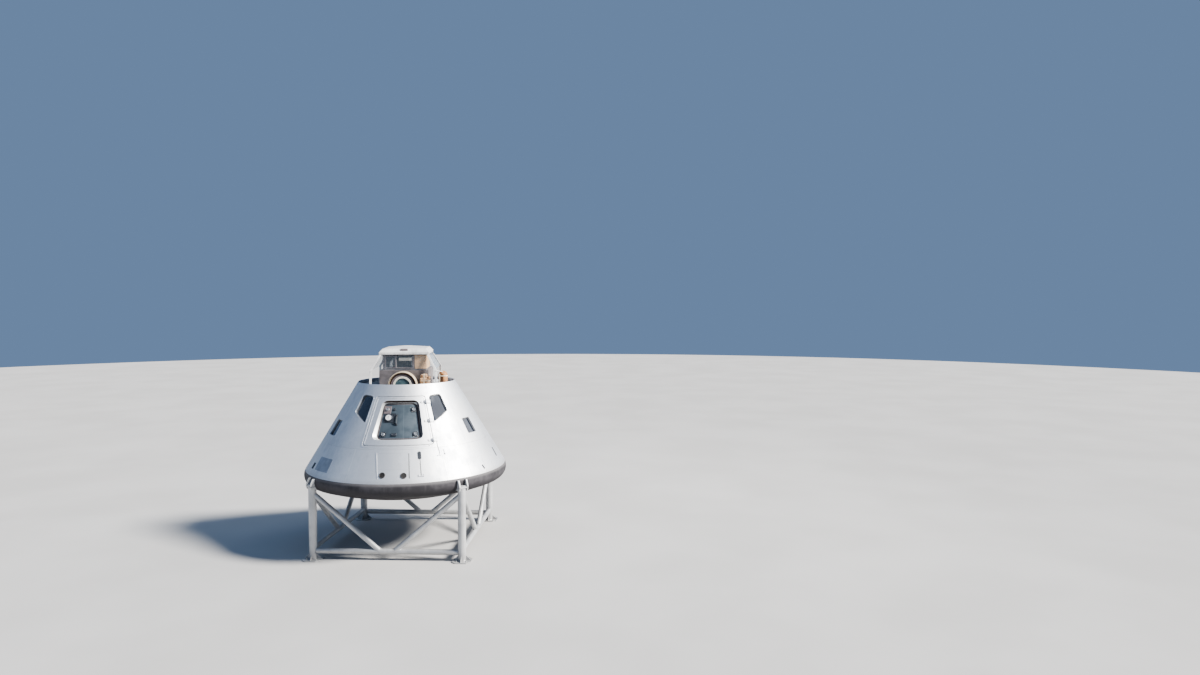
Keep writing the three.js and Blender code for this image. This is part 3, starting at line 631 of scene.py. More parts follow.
hatchway = door(24.36, 2.137, 2.983, 0.055)
FORWARD_CORNERS = [(28, 2.515, 0.022), (43.5, 2.690, 0.028), (42.2, 3.000, 0.068), (28, 2.985, 0.078)]
SIDE_CORNERS = [(55.5, 2.235, 0.028), (66, 2.235, 0.028), (66, 2.510, 0.028), (55.5, 2.510, 0.028)]
WINDOWS = {
    f"{side}_{place}": rounded([(sign * bearing, z, r) for bearing, z, r in corners])
    for side, sign in (("left", -1), ("right", 1))
    for place, corners in (("forward", FORWARD_CORNERS), ("side", SIDE_CORNERS))
}
slot_edges = [rectangle(b - SLOT_HALF, b + SLOT_HALF, low, high) for b, low, high in SLOTS]
turned_on = [(b + 360, z) for b, z in WINDOWS["left_side"]]
PANELS = {  # name: bearings, holes
    "lower_front": (-28, 28, slot_edges),
    "lower_right": (28, 118, ()),
    "lower_rear": (118, 242, ()),
    "lower_left": (242, 332, ()),
    "upper_front": (-49, 49, [hatchway, WINDOWS["left_forward"], WINDOWS["right_forward"]]),
    "upper_right": (49, 131, [WINDOWS["right_side"]]),
    "upper_rear": (131, 229, ()),
    "upper_left": (229, 311, [turned_on]),
}


def wall_depth(z):
    return -WALL if z < sum(LEDGE) / 2 else -LIP


for name, (start, end, holes) in PANELS.items():
    upper = name.startswith("upper")
    low, high, rows = (BELT_Z, TOP_Z, LEDGE) if upper else (SHIELD_TOP_Z, BELT_Z, ())
    inset = degrees(SEAM / skin_radius((low + high) / 2))
    heights = [low + SEAM, *rows, high - (0 if upper else SEAM)]
    outline = [(end - inset, z) for z in heights] + [(start + inset, z) for z in reversed(heights)]
    panel = wrapped(outline, holes, inner=wall_depth, rows=rows)
    dress("skin_" + name, panel, skin_paint, "skin", "wall_" + name, width=0.0014)

# %% [markdown]
# ## Slots and wall ribs
# The two slots low on the front are dark channels, so each hole gets a liner set 14 mm down. Inside, ring frames
# and stringers stiffen the real wall. They show only through the open hatch, and a few plain bars on the lining
# are enough to give the cabin its scale. A band between two grown copies of one outline makes the ring round
# the hatchway, and later the seals and rims too.

# %% Slot liners and inner frames
RIB_HEIGHTS = (1.75, 2.08, 3.02)
RIB_PROFILE = [(0.004, -0.03), (-0.028, -0.03), (-0.028, 0.03), (-0.030, 0.03), (-0.030, 0.034), (-0.004, 0.034)]


def band(edge, out, within, outer, inner=-0.0015):
    return wrapped(grown(edge, out), [grown(edge, within)], outer=outer, inner=inner)


black_rubber = clouded("dark_rubber", 60, 0.35, 0.7, (0.018, 0.018, 0.020), (0.055, 0.053, 0.052),
                       (320, 3, 0.6, 0.0004, 0.5), roughness=0.62, specular=0.35)
liners = [wrapped(grown(edge, 0.001), outer=-0.014, inner=-0.022) for edge in slot_edges]
dress("slot_liners", liners, black_rubber, "vent", width=0.0008)

ribs = []
for z in RIB_HEIGHTS:
    r = skin_radius(z) - WALL / cos(TILT)
    ribs.append(turned([(r + a, z + b) for a, b in RIB_PROFILE], 120))
for bearing in range(60, 331, 15):
    ribs.append(tube([on_skin(bearing, z, -WALL - 0.006) for z in (1.62, 3.04)], 0.012, 6))
ribs.append(band(hatchway, 0.055, 0.012, -WALL + 0.002, -WALL - 0.02))
cabin_paint = skin_finish("cabin_paint", (0.66, 0.68, 0.65), (0.56, 0.58, 0.55), metal=0.1)
dress("wall_frames", ribs, cabin_paint, "skin", width=0.0012)

# %% [markdown]
# ## Windows
# A forward window is a deep, dark, five-sided light with soft upper and sharp lower corners, and a side window is
# a small upright one. On the real object heavy glass sits 34 mm down in the wall, in a black seal, held by a
# screwed ring. The pane could be clear with a cabin behind it, but in daylight such glass reads as a near-black
# mirror, so it is a dark tinted glass that lets little through and keeps sharp reflections. Screws are copied
# from one small model into a single mesh, because a hundred separate objects would only slow work.

# %% Window glass, seals and screwed rings
SCREW_SIDES, SCREW_SMOOTH = 12, 40
LOOP_STEP = 0.004
bright_steel = clouded("screw_steel", 45, 0.3, 0.7, (0.42, 0.42, 0.42), (0.62, 0.62, 0.61),
                       (900, 2, 0.5, 0.0002, 0.4), (0.26, 0.46), roughness=0.34, metallic=0.9)


def screws(name, places, r, tall, body="root"):
    """Round-headed screws with a hexagonal socket, at places whose z points out of the surface."""
    outline = [(r, -0.001), (r, tall * 0.45), (r * 0.82, tall * 0.85), (r * 0.5, tall), (r * 0.42, tall * 0.35)]
    bm = bmesh.new()
    for place in places:
        rings = []
        for k, (radius, z) in enumerate(outline):
            pulls = [radius * (1 if k < 4 or i % 2 else 0.9) for i in range(SCREW_SIDES)]
            ring = [Vector((p * cos(a), p * sin(a), z)) for a, p in zip(angles(SCREW_SIDES), pulls)]
            rings.append([bm.verts.new(place @ v) for v in ring])
        for low, high in pairs(rings, False):
            quads(bm, low, high)
        bm.faces.new(rings[-1])
    dress(name, settle(as_object(bm), SCREW_SMOOTH), bright_steel, "fitting", body=body, width=0)


def along_loop(outline, spacing, lift):
    """Places on the skin at even distances along an outline."""
    fine = stepped(outline, LOOP_STEP)
    count = max(3, round(len(fine) * LOOP_STEP / spacing))
    return [skin_frame(*fine[round(i * len(fine) / count) % len(fine)], lift) for i in range(count)]


dark = Finish("window_glass", roughness=0.035, specular=0.9)
smear = dark.noise(7, 5, stretch=(1, 1, 0.4))
dark.put("Base Color", dark.tones(smear, 0.35, 0.7, (0.006, 0.010, 0.022), (0.022, 0.030, 0.046)))
dark.put("Roughness", dark.ramp(smear, 0.4, 0.75, 0.03, 0.12)).put("Transmission Weight", 0.25).put("IOR", 1.52)
dark.put("Coat Weight", 1.0).put("Coat IOR", 1.75).put("Coat Roughness", 0.03)

seals, rings, heads = [], [], []
for name, edge in WINDOWS.items():
    pane = wrapped(grown(edge, -0.0004), outer=-0.034, inner=-0.046, grid=2)
    dress("window_pane_" + name, pane, dark.material, "glass", "window_" + name, width=0.001)
    seals.append(band(edge, -0.0003, -0.012, -0.025, -0.034))
    rings.append(band(edge, 0.024, 0.001, 0.0010, -0.001))
    heads += along_loop(grown(edge, 0.0125), 0.075, 0.0010)
gasket = skin_finish("gasket_grey", (0.17, 0.17, 0.175), (0.11, 0.11, 0.115), metal=0.1)
dress("window_seals", seals, gasket, "vent", width=0.0025, segments=3)
dress("window_rings", rings, skin_paint, "skin", width=0.0009)
screws("window_screws", heads, 0.0042, 0.0016)

# %% [markdown]
# ## Hatch frame
# The hatch is a frame as thick as the wall round a recess whose sides slope in to a deep inner plate. In daylight
# the left side of the recess glows and the right side is in shade, which is what shows how deep it is; the finish
# adds painted shade on the right side and the top as well. The recess is wider at the skin than at its floor. The
# wrapped solid takes care of that: its inner points are drawn towards the middle, fully at the recess and not at
# all at the outer edge.

# %% Cut the hatch frame with its sloping recess
RECESS_LOW, RECESS_HIGH = 2.268, 2.886
RECESS_SPREAD = 1.085  # how much wider the mouth is than the floor
RECESS_LEAN = 0.075  # added to that at the lower left corner, taken off at the upper left one
RECESS_MIDDLE = (RECESS_LOW + RECESS_HIGH) / 2
recess_floor = door(16.3, RECESS_LOW, RECESS_HIGH, 0.110)


def recess_grow(bearing, z):
    """Where a point of the recess's floor lies at its mouth."""
    above = z - RECESS_MIDDLE
    lean = -RECESS_LEAN * above / (RECESS_HIGH - RECESS_MIDDLE) if bearing < 0 else 0
    return bearing * (1 + (RECESS_SPREAD - 1 + lean)), RECESS_MIDDLE + above * (1 + (RECESS_SPREAD - 1))


recess_mouth = [recess_grow(*point) for point in recess_floor]
to_mouth, to_edge = [nearest(stepped(loop, 0.006), lambda z: 1.4) for loop in (recess_mouth, hatch_edge)]


def narrowed(bearing, z):
    mouth, edge = to_mouth(bearing, z), to_edge(bearing, z)
    share = edge / (mouth + edge + 1e-9) if mouth > 0.004 else 1.0
    floor_z = RECESS_MIDDLE + (z - RECESS_MIDDLE) / RECESS_SPREAD
    spread = recess_grow(bearing, floor_z)[0] / bearing if bearing else 1.0
    return bearing * (1 + (1 / spread - 1) * share), z + (floor_z - z) * share


hatch_frame = wrapped(hatch_edge, [recess_mouth], inner=-WALL, under=narrowed, grid=1.5)
frame_paint = skin_finish("hatch_frame_satin", lined=True, reveal=True)
dress("hatch_frame_shell", hatch_frame, frame_paint, "skin", "hatch_frame", body="hatch", width=0.003, segments=3)
dress("hatch_rim", band(hatch_edge, -0.010, -0.030, 0.0035, -0.001), skin_paint, "skin", body="hatch", width=0.0012)
dress("hatchway_rim", band(hatchway, 0.034, 0.004, 0.003, -0.001), skin_paint, "skin", width=0.0012)
seal_grey = skin_finish("seal_grey", (0.58, 0.59, 0.60), (0.46, 0.47, 0.48), metal=0.1)
dress("hatch_seal", band(hatchway, 0.0005, -0.0032, -0.004, -0.05), seal_grey, "vent", width=0)

# %% [markdown]
# ## Inner plate of the hatch
# The floor of the recess is a blue-grey plate with a dark rubber bead round it. Flat colour would kill it: real
# anodised plate is cloudy and has faint upright brush marks, and this one darkens towards the corners with dust
# and painted shade.

# %% Plate finish, plate and bead
PLATE_BLUE, PLATE_PALE, PLATE_EDGE = (0.078, 0.101, 0.120), (0.100, 0.126, 0.148), (0.058, 0.072, 0.086)
PLATE_LIFT = -WALL - 0.0003
blue = Finish("hatch_plate_paint", metallic=0.35, specular=0.4)
wash, brushed = blue.noise(5.5, 5), blue.noise(60, 3, stretch=(1, 1, 0.05))
bearing = blue.bearing()
shade = blue.tones(wash, 0.35, 0.65, PLATE_BLUE, PLATE_PALE)
shade = blue.over(shade, PLATE_PALE, blue.ramp(brushed, 0.45, 0.7), 0.35)
shade = blue.over(shade, (0.16, 0.20, 0.23), blue.window(bearing, 3.2, 3.7, 0.25), 0.30)
# darker towards the left and right edges: dust together with painted shade
clean_and_lit = blue.sum(blue.times(blue.window(bearing, -14.5, 14.5, 1.5), 0.55), 0.45)
plate_paint = blue.done(blue.blend(clean_and_lit, PLATE_EDGE, shade), blue.bump(brushed, 0.0006, 0.35),
                        blue.ramp(wash, 0.3, 0.7, 0.36, 0.55))
inner_plate = wrapped(door(18.6, 2.196, 2.928, 0.110), outer=PLATE_LIFT, inner=PLATE_LIFT - 0.026)
dress("hatch_inner_plate", inner_plate, plate_paint, "hatch_inside", "hatch_plate", body="hatch", width=0.002)

floor_line = stepped(grown(recess_floor, -0.006), 0.02)
bead = tube([on_skin(b, z, PLATE_LIFT + 0.004) for b, z in floor_line], 0.0065, 10, closed=True)
dress("hatch_bead", bead, black_rubber, "vent", body="hatch")
mauve = skin_finish("mauve_grey", (0.20, 0.168, 0.172), (0.13, 0.106, 0.110), metal=0.1)
step_ring = band(recess_floor, 0.001, -0.022, PLATE_LIFT + 0.004, PLATE_LIFT - 0.002)
dress("hatch_step", step_ring, mauve, "hatch_inside", body="hatch", width=0.0012)

# %% [markdown]
# ## Latches
# On the floor of the recess sit a latch boss in each corner, a white dial in a thick dark ring and an upright
# handle. They are turned and machined parts, so each is a turned profile or a bevelled plate set on the
# slope with the skin's own frame. The dark pads under them matter as much as the bosses: from a few metres
# away they are what the eye sees.

# %% Latch bosses and their pads
LATCHES = [(-11.8, 2.352), (12.4, 2.350), (12.4, 2.770), (-11.6, 2.778)]  # bearing, height
PAD_THICK = 0.006
SQUARE = ((-1, -1), (1, -1), (1, 1), (-1, 1))
BOSS = [(0.033, -0.002), (0.033, 0.011), (0.0305, 0.014), (0.0285, 0.031), (0.026, 0.034), (0.020, 0.034),
        (0.018, 0.031), (0.018, 0.024), (0.009, 0.024), (0.009, 0.030), (0.007, 0.032), (0, 0.032)]


def pad_outline(half_x, half_y, corner):
    outline = []
    for k in range(28):
        t = radians(15 * (k - k // 7))
        a, b = [(1, 1), (-1, 1), (-1, -1), (1, -1)][k // 7]
        outline.append((a * (half_x - corner) + corner * cos(t), b * (half_y - corner) + corner * sin(t)))
    return outline


def on_plate(bearing, z, lift=0.0):
    return skin_frame(bearing, z, PLATE_LIFT + lift)


bosses = [turned(BOSS, 48, on_plate(*spot)) for spot in LATCHES]
pads = [plate(pad_outline(0.050, 0.052, 0.018), PAD_THICK, on_plate(*spot, -0.001), 0.0015) for spot in LATCHES]
pad_screws = [on_plate(*spot, PAD_THICK - 0.001) @ shift(x, y)
              for spot in LATCHES for x in (-0.038, 0.038) for y in (-0.040, 0.040)]
latch_steel = clouded("latch_steel", 70, 0.35, 0.7, (0.30, 0.32, 0.34), (0.50, 0.52, 0.54),
                      (500, 2, 0.5, 0.0003, 0.4), (0.30, 0.52), roughness=0.4, metallic=0.75)
fitting_dark = clouded("dark_fitting_paint", 90, 0.35, 0.8, (0.028, 0.033, 0.042), (0.050, 0.057, 0.068),
                       (420, 3, 0.6, 0.0004, 0.4), (0.38, 0.6), specular=0.4)
dress("latch_bosses", bosses, latch_steel, "fitting", body="hatch")
dress("latch_pads", pads, fitting_dark, "hatch_inside", body="hatch")

# %% [markdown]
# ## The dial
# The dial is a white enamelled disc, a little under the edge of a thick dark ring. A real one carries ticks and
# one pointer, so plain ticks are raised on it as thin bars. Ticks drawn in the paint would be lighter work, but
# bars catch the light and stay crisp close to.

# %% Dial, its mount and its ticks
DIAL = (-9.3, 2.640)
DIAL_RING = [(0.076, 0.0), (0.076, 0.019), (0.072, 0.0235), (0.062, 0.0238), (0.058, 0.020), (0.058, 0.0)]
DIAL_FACE = [(0, 0.010), (0.059, 0.010), (0.059, 0.0155), (0.057, 0.0165), (0.010, 0.0165), (0.009, 0.022),
             (0, 0.022)]
POINTER = [(-0.014, -0.004), (0.036, -0.0012), (0.036, 0.0012), (-0.014, 0.004)]
mount = plate(pad_outline(0.108, 0.092, 0.02), 0.008, on_plate(*DIAL, -0.001) @ shift(0.018, -0.004), 0.002)
dress("dial_ring", turned(DIAL_RING, 64, on_plate(*DIAL, 0.0005)), fitting_dark, "hatch_inside", body="hatch")
dress("dial_mount", mount, fitting_dark, "hatch_inside", body="hatch", width=0)
enamel = clouded("dial_enamel", 55, 0.4, 0.75, (0.86, 0.87, 0.87), (0.66, 0.67, 0.66),
                 (300, 2, 0.5, 0.0002, 0.3), (0.24, 0.42), roughness=0.3)
dress("dial_face", turned(DIAL_FACE, 64, on_plate(*DIAL)), enamel, "dial", "hatch_dial", body="hatch")

ticks = [box((0.047 if i % 6 else 0.042, 0.053), 0.0011, (0.0160, 0.0171), on_plate(*DIAL) @ spin(15 * i), 0)
         for i in range(24)]
ticks.append(plate(POINTER, 0.002, on_plate(*DIAL, 0.0185) @ spin(118), 0.0004))
dress("dial_ticks", ticks, black_rubber, "hatch_inside", body="hatch", width=0)

# %% [markdown]
# ## Handle and the small dark covers
# The handle is a bent bar on two feet. Its ends turn down into the plate in a tight radius, as a rod bent in a
# jig does. Two arms run from the dial's mount to the feet. Two small covers on the plate are dark boxes.

# %% Handle, arms and covers
HANDLE_BEARING, HANDLE_FEET = -2.3, (2.520, 2.678)
HANDLE_LIFT, HANDLE_R, BEND = 0.034, 0.009, 0.026
FOOT = [(0, 0), (0.0225, 0), (0.0225, 0.006), (0.0205, 0.009), (0.0135, 0.010), (0.0105, 0.016), (0, 0.016)]
KNOB = [(0, 0), (0.026, 0), (0.026, 0.012), (0.022, 0.017), (0.010, 0.018), (0, 0.018)]
grip = []
for end, sign in zip(HANDLE_FEET, (1, -1)):
    turns = [radians(15 * k) for k in range(7)]
    curve = [(end + sign * BEND * (1 - cos(t)) / SLOPE_LENGTH, HANDLE_LIFT - BEND * (1 - sin(t))) for t in turns]
    grip += [(end, 0.0), *curve][::sign]
handle = [tube([on_skin(HANDLE_BEARING, z, PLATE_LIFT + lift) for z, lift in grip], HANDLE_R, 16)]
handle += [turned(FOOT, 32, on_plate(HANDLE_BEARING, z)) for z in HANDLE_FEET]
dress("hatch_handle_bar", handle, fitting_dark, "fitting", "hatch_handle", body="hatch")

covers = [
    box(0.045, 0.026, (-0.001, 0.020), on_plate(-3.4, 2.351), 0.004),
    turned(KNOB, 40, on_plate(-5.2, 2.782)),
    box((-0.062, 0.010), 0.011, (-0.001, 0.014), on_plate(-2.9, 2.542), 0.003),
    box((-0.058, 0.006), 0.009, (-0.001, 0.012), on_plate(-2.9, 2.684), 0.003),
]
dress("hatch_covers", covers, fitting_dark, "hatch_inside", body="hatch")
corner_box = [box((-0.070, 0.062), (-0.080, 0.076), (-0.001, 0.012), on_plate(-11.3, 2.772), 0.003)]
dress("hatch_corner_box", corner_box, mauve, "hatch_inside", body="hatch")
cover_screws = [on_plate(-3.4, 2.351, 0.020) @ shift(x) for x in (-0.036, 0.036)]
screws("hatch_screws", pad_screws + cover_screws, 0.0045, 0.002, "hatch")

# %% [markdown]
# ## Hinges
# Three hinges carry the hatch on its right edge. Each has a fixed bracket with two ears on the wall, and a
# moving strap on the hatch whose eye turns between the ears on a pin. The sizes are the CAD's, so nothing
# rubs when the hatch swings. The outlines are hulls and arcs cut from plate, bevelled like machined parts, and
# painted with the skin's own colour, because on the real wall they hardly stand out.

# %% Hinge brackets and straps
HINGE_BEARING, HINGE_HEIGHTS, PIN_LIFT = 24.18, (2.210, 2.540, 2.870), 0.027
LEAF = (-0.0265, -0.015)  # the leaves' height, seen from the pin


def upright(outline, y0, y1, place, width=0.0015):
    """Plate of an (x, z) outline between two y values."""
    return plate(outline, y1 - y0, place @ (shift(y=y1) @ spin(90, "X")), width)


ear = circle(0.017, 28) + [(0.014, LEAF[0]), (0.030, LEAF[0]), (0.030, LEAF[1])]
ear = [ear[i] for i in convex_hull_2d([Vector(p) for p in ear])]
web = [(0.0135 * cos(t), 0.0135 * sin(t)) for t in [radians(110 + 12 * k) for k in range(13)]]
web += [(-0.002, LEAF[0]), (-0.058, LEAF[0]), (-0.058, LEAF[1])]
eye = [(0.0099, -0.019), (0.0160, -0.019), (0.0170, -0.018), (0.0170, 0.018), (0.0160, 0.019), (0.0099, 0.019)]
pin = [(0, -0.0385), (0.0105, -0.0385), (0.0118, -0.0372), (0.0118, -0.0358), (0.009, -0.0358)]
pin += [(r, -y) for r, y in reversed(pin)]
brackets, straps, fixed_heads, moving_heads = [], [], [], []
for z in HINGE_HEIGHTS:
    place = skin_frame(HINGE_BEARING, z, PIN_LIFT)
    brackets += [upright(ear, y0, y1, place) for y0, y1 in ((-0.036, -0.022), (0.022, 0.036))]
    brackets += [box((0.014, 0.082), 0.036, LEAF, place, 0.0025), settle(turned(pin, 40, place @ spin(-90, "X")))]
    straps += [box((-0.096, -0.017), 0.019, LEAF, place, 0.0025), upright(web, -0.0185, 0.0185, place, 0.001),
               settle(turned(eye, 40, place @ spin(-90, "X")))]
    fixed_heads += [place @ shift(x, y, LEAF[1]) for x in (0.042, 0.068) for y in (-0.022, 0.022)]
    moving_heads += [place @ shift(-0.080, y, LEAF[1]) for y in (-0.009, 0.009)]
hinge_paint = skin_finish("hinge_paint", (0.68, 0.69, 0.70), (0.52, 0.54, 0.57))
for part, parts, body in (("bracket", brackets, "root"), ("strap", straps, "hatch")):
    dress(f"hinge_{part}s", parts, skin_paint, "fitting", *[f"hinge_{part}_{i}" for i in (1, 2, 3)], body=body)
screws("hinge_screws_fixed", fixed_heads, 0.0055, 0.003)
screws("hinge_screws_moving", moving_heads, 0.0055, 0.003, "hatch")

# %% [markdown]
# ## Vents
# Low on the front are two round vents, each a dark collar round a sunk grille. The slats are short bars of
# unequal length, so that together they fill the circle.

# %% Vents
VENTS = [(-7.3, 1.667), (4.3, 1.655)]
SLAT_PITCH, GRILLE_R = 0.0105, 0.0385
COLLAR = [(0.056, -0.003), (0.056, 0.008), (0.053, 0.012), (0.043, 0.012), (0.040, 0.009), (0.040, -0.003)]
collars, wells, slats = [], [], []
for place in [skin_frame(*spot) for spot in VENTS]:
    collars.append(turned(COLLAR, 56, place))
    wells.append(turned(drum(0.0405, 0.0042, -0.003), 40, place))
    for y in [SLAT_PITCH * i for i in range(-3, 4)]:
        slats.append(box(sqrt(GRILLE_R**2 - y**2), (y - 0.002, y + 0.002), (0.004, 0.0082), place, 0.0006))
vent_paint = clouded("vent_paint", 85, 0.4, 0.7, (0.055, 0.053, 0.055), (0.115, 0.108, 0.10),
                     (420, 3, 0.6, 0.0004, 0.5), (0.45, 0.7), 0.65, roughness=0.55, metallic=0.3)
dress("vent_collars", collars, vent_paint, "vent", "vent_left", "vent_right")
dress("vent_slats", slats, vent_paint, "fitting")
dress("vent_wells", wells, black_rubber, "vent")

# %% [markdown]
# ## Small relief on the skin
# On the wall are raised strips, panel outlines, plugs and a thin lead, none of them much more than a centimetre
# deep. They could be painted into the skin's bump, but a real edge catches the light from every side, so
# each is a thin wrapped strip that sits a little proud. Its back is sunk into the wall, so no gap shows.

# %% Strips, seams and small panels on the skin
LEAD = [(26.5, 2.212), (26.4, 2.150), (26.4, 2.085), (26.6, 2.045), (26.8, 2.010), (26.6, 1.980), (26.1, 1.950)]


def strip(start, end, half, outer):
    """Band along a straight line between two (bearing, height) spots."""
    across = radians(end[0] - start[0]) * skin_radius((start[1] + end[1]) / 2)
    up = (end[1] - start[1]) * SLOPE_LENGTH
    length = hypot(across, up)
    side = (up / length * half, -across / length * half)
    corners = [(bearing + degrees(sign * side[0] / skin_radius(z)), z + sign * side[1] / SLOPE_LENGTH)
               for (bearing, z), sign in ((start, 1), (end, 1), (end, -1), (start, -1))]
    return wrapped(corners, outer=outer, inner=-0.0015)


strips = [
    strip((-13.0, 2.022), (-9.6, 1.612), 0.009, 0.005),
    strip((-12.6, 2.026), (6.6, 2.026), 0.004, 0.002),
    strip((24.3, 1.883), (26.9, 1.879), 0.004, 0.0022),
]
for corners, r in (([(43.6, 1.548), (56.4, 1.548), (57.2, 1.822), (43.9, 1.822)], 0.02),
                   ([(64.2, 1.578), (69.2, 1.578), (69.8, 1.676), (64.4, 1.676)], 0.01)):
    strips.append(band(rounded([(*corner, r) for corner in corners]), 0, -0.008, 0.0026))
dress("skin_strips", strips, skin_paint, "skin", width=0.0008)
seams = [strip((-10.6, 1.758), (6.6, 1.758), 0.0016, 0.0004), strip((29.2, 2.06), (29.2, 1.54), 0.0012, 0.0004)]
dress("skin_seams", seams, hinge_paint, "skin", width=0)
patch_paint = skin_finish("patch_grey", (0.46, 0.49, 0.54), (0.34, 0.37, 0.42))
patch = wrapped(four_sided(-57.6, -43.5, 1.637, 1.863, 0.02), outer=0.0022, inner=-0.0015)
dress("skin_patch", patch, patch_paint, "skin", width=0.0009)

ports = [
    strip((76.7, 1.872), (76.0, 1.710), 0.022, 0.0022),
    strip((-62.0, 1.733), (-62.0, 1.632), 0.046, 0.0022),
    strip((54.3, 1.664), (54.9, 1.590), 0.017, 0.0040),
    turned([(0, 0.006), (0.013, 0.006), (0.014, 0.004), (0.014, -0.002), (0, -0.002)], 32, skin_frame(29.9, 1.960)),
    plate(pad_outline(0.030, 0.074, 0.026), 0.010, skin_frame(13.8, 1.972, -0.001), 0.002),
    turned([(0, 0.004), (0.010, 0.004), (0.011, -0.002), (0, -0.002)], 24, skin_frame(20.6, 2.118)),
]
dress("skin_ports", ports, fitting_dark, "vent")
FEET = [  # x, y, top, bearing, height
    (0.052, 0.009, 0.012, 13.8, 1.634), ((-0.052, -0.036), (0.0, 0.034), 0.010, 13.8, 1.634),
    ((0.036, 0.052), (0.0, 0.034), 0.010, 13.8, 1.634), (0.036, 0.008, 0.010, 26.0, 1.943),
    (0.005, (0.0, 0.085), 0.009, 29.9, 1.962),
]
feet = [box(xs, ys, (-0.001, top), skin_frame(*spot)) for xs, ys, top, *spot in FEET]
feet.append(settle(tube([on_skin(*spot, 0.004) for spot in LEAD], 0.0055, 10)))
dress("skin_brackets", feet, hinge_paint, "fitting", width=0)

# %% [markdown]
# ## Forward deck and cabin floor
# The cage stands on a round deck a hand's width below the cone's top edge. A bolted ring closes the joint between
# deck and wall, and low ribs run out to the corners of the cage. The cabin has a plain floor with a grey mat. Little
# light gets in through the hatchway, so lining and floor are pale, or an open hatch would show plain black.

# %% Deck, ring, ribs and floor
YAW_TURN = spin(YAW)
DECK_TOP = 3.104
BOLT_ROWS, BOLTS = (0.862, 0.943), 72


def speckled(name, cloud, grain, low, light, dull, dirt, rough, *depth, **shader):
    """Two colours mixed by a large cloud, under small dark specks that also make the bump."""
    made = Finish(name, **shader)
    wear, speck = made.noise(*cloud), made.noise(grain, 4, 0.65)
    colour = made.over(made.tones(wear, 0.35, 0.65, light, dull), dirt, made.ramp(speck, low, 0.75), 0.5)
    return made.done(colour, made.bump(speck, *depth), made.ramp(speck, 0.3, 0.7, *rough))


deck_grey = speckled("deck_paint", (6, 6, 0.65), 75, 0.55, (0.20, 0.205, 0.21), (0.32, 0.325, 0.32),
                     (0.12, 0.11, 0.10), (0.48, 0.72), 0.0006, 0.5, roughness=0.6, specular=0.35)
deck = turned([(0, 3.061), (0.9275, 3.061), (0.9015, 3.1045), (0, 3.1045)], 144)
dress("deck_plate", deck, deck_grey, "deck", "forward_deck")
frames = [turned([(0.845, DECK_TOP), (0.845, 3.1095), (0.962, 3.1095), (0.962, DECK_TOP)], 144)]
for corner in range(4):
    spoke = YAW_TURN @ spin(45 + 90 * corner)
    frames += [box((0.668, 0.842), 0.006, (DECK_TOP, 3.150), spoke, 0.0015),
               box((0.672, 0.842), 0.026, (DECK_TOP, 3.110), spoke, 0.0015)]
dress("deck_frames", frames, hinge_paint, "deck", width=0.0012)
bolt_spots = [spin(360 * i / BOLTS) @ shift(r, 0, 3.1095) for r in BOLT_ROWS for i in range(BOLTS)]
screws("deck_bolts", bolt_spots, 0.006, 0.004)
floor_plate = turned([(0, 1.5255), (1.846, 1.5255), (1.819, 1.570), (0, 1.570)], 144)
dress("floor_plate", floor_plate, cabin_paint, "deck", "cabin_floor")
dress("floor_mat", turned([(0, 1.570), (1.30, 1.570), (1.30, 1.576), (1.292, 1.579), (0, 1.579)]), deck_grey, "deck")

# %% [markdown]
# ## The cage
# Four kinked struts carry a low square cap. They are square bars, welded at the kink with a small sleeve, each on
# a bolted foot. White satin paint covers all of it, chipped at the edges. The cap is a low box with sloping
# shoulders, like a hipped lid. Struts and cap are lofted through square rings, which keeps every fold exactly
# where it is wanted.

# %% Struts, feet, sleeves and cap
STRUT = 0.042
CAGE = [(0.618, DECK_Z + 0.0003), (0.608, 3.434), (0.446, 3.7297)]  # half width of the cage, height
CAGE_FOOT = [(0.618, 3.1045), (0.618, 3.1125)]
SLEEVE = [(0.6088, 3.412), (0.608, 3.434), (0.5965, 3.455)]
CAP = [(0.474, 3.730), (0.474, 3.775), (0.412, 3.842), (0.060, 3.880)]


def lofted(rings, width):
    """Solid through square rings of (x, y, z, half width), turned with the capsule."""
    rings = [[(x + a * half, y + b * half, z) for a, b in SQUARE] for x, y, z, half in rings]
    return bevelled(ringed(rings, place=YAW_TURN), width)


cage = Finish("cage_paint", roughness=0.42)
chips, stains = cage.noise(48, 5, 0.65), cage.noise(7, 5, stretch=(1, 1, 0.35))
cream = cage.tones(stains, 0.38, 0.68, (0.72, 0.715, 0.70), (0.55, 0.535, 0.525))
cream = cage.over(cream, (0.25, 0.235, 0.22), cage.ramp(chips, 0.66, 0.72), 0.7)
cage_white = cage.done(cream, cage.bump(cage.noise(210, 3), 0.0005, 0.35), cage.ramp(stains, 0.3, 0.7, 0.34, 0.54))

struts, bolts = [], []
for sx, sy in ((-1, -1), (-1, 1), (1, -1), (1, 1)):
    for rows, half, width in ((CAGE, STRUT / 2, 0.003), (CAGE_FOOT, 0.0405, 0.0015), (SLEEVE, 0.0245, 0.0015)):
        struts.append(lofted([(sx * h, sy * h, z, half) for h, z in rows], width))
    bolts += [YAW_TURN @ shift(sx * CAGE[0][0] + dx, sy * CAGE[0][0] + dy, 3.1125)
              for dx in (-0.031, 0.031) for dy in (-0.031, 0.031)]
strut_nodes = [f"cage_strut_{end}_{side}" for end in ("front", "rear") for side in ("left", "right")]
dress("cage_struts", struts, cage_white, "cage", *strut_nodes)
screws("cage_bolts", bolts, 0.0065, 0.004)
kink, rest = YAW_TURN @ Vector((0.622, -0.585, 3.420)), YAW_TURN @ Vector((0.700, -0.060, 3.352))
dress("cage_stay", tube([kink.lerp(rest, t / 4) for t in range(5)], 0.0095), cage_white, "cage")

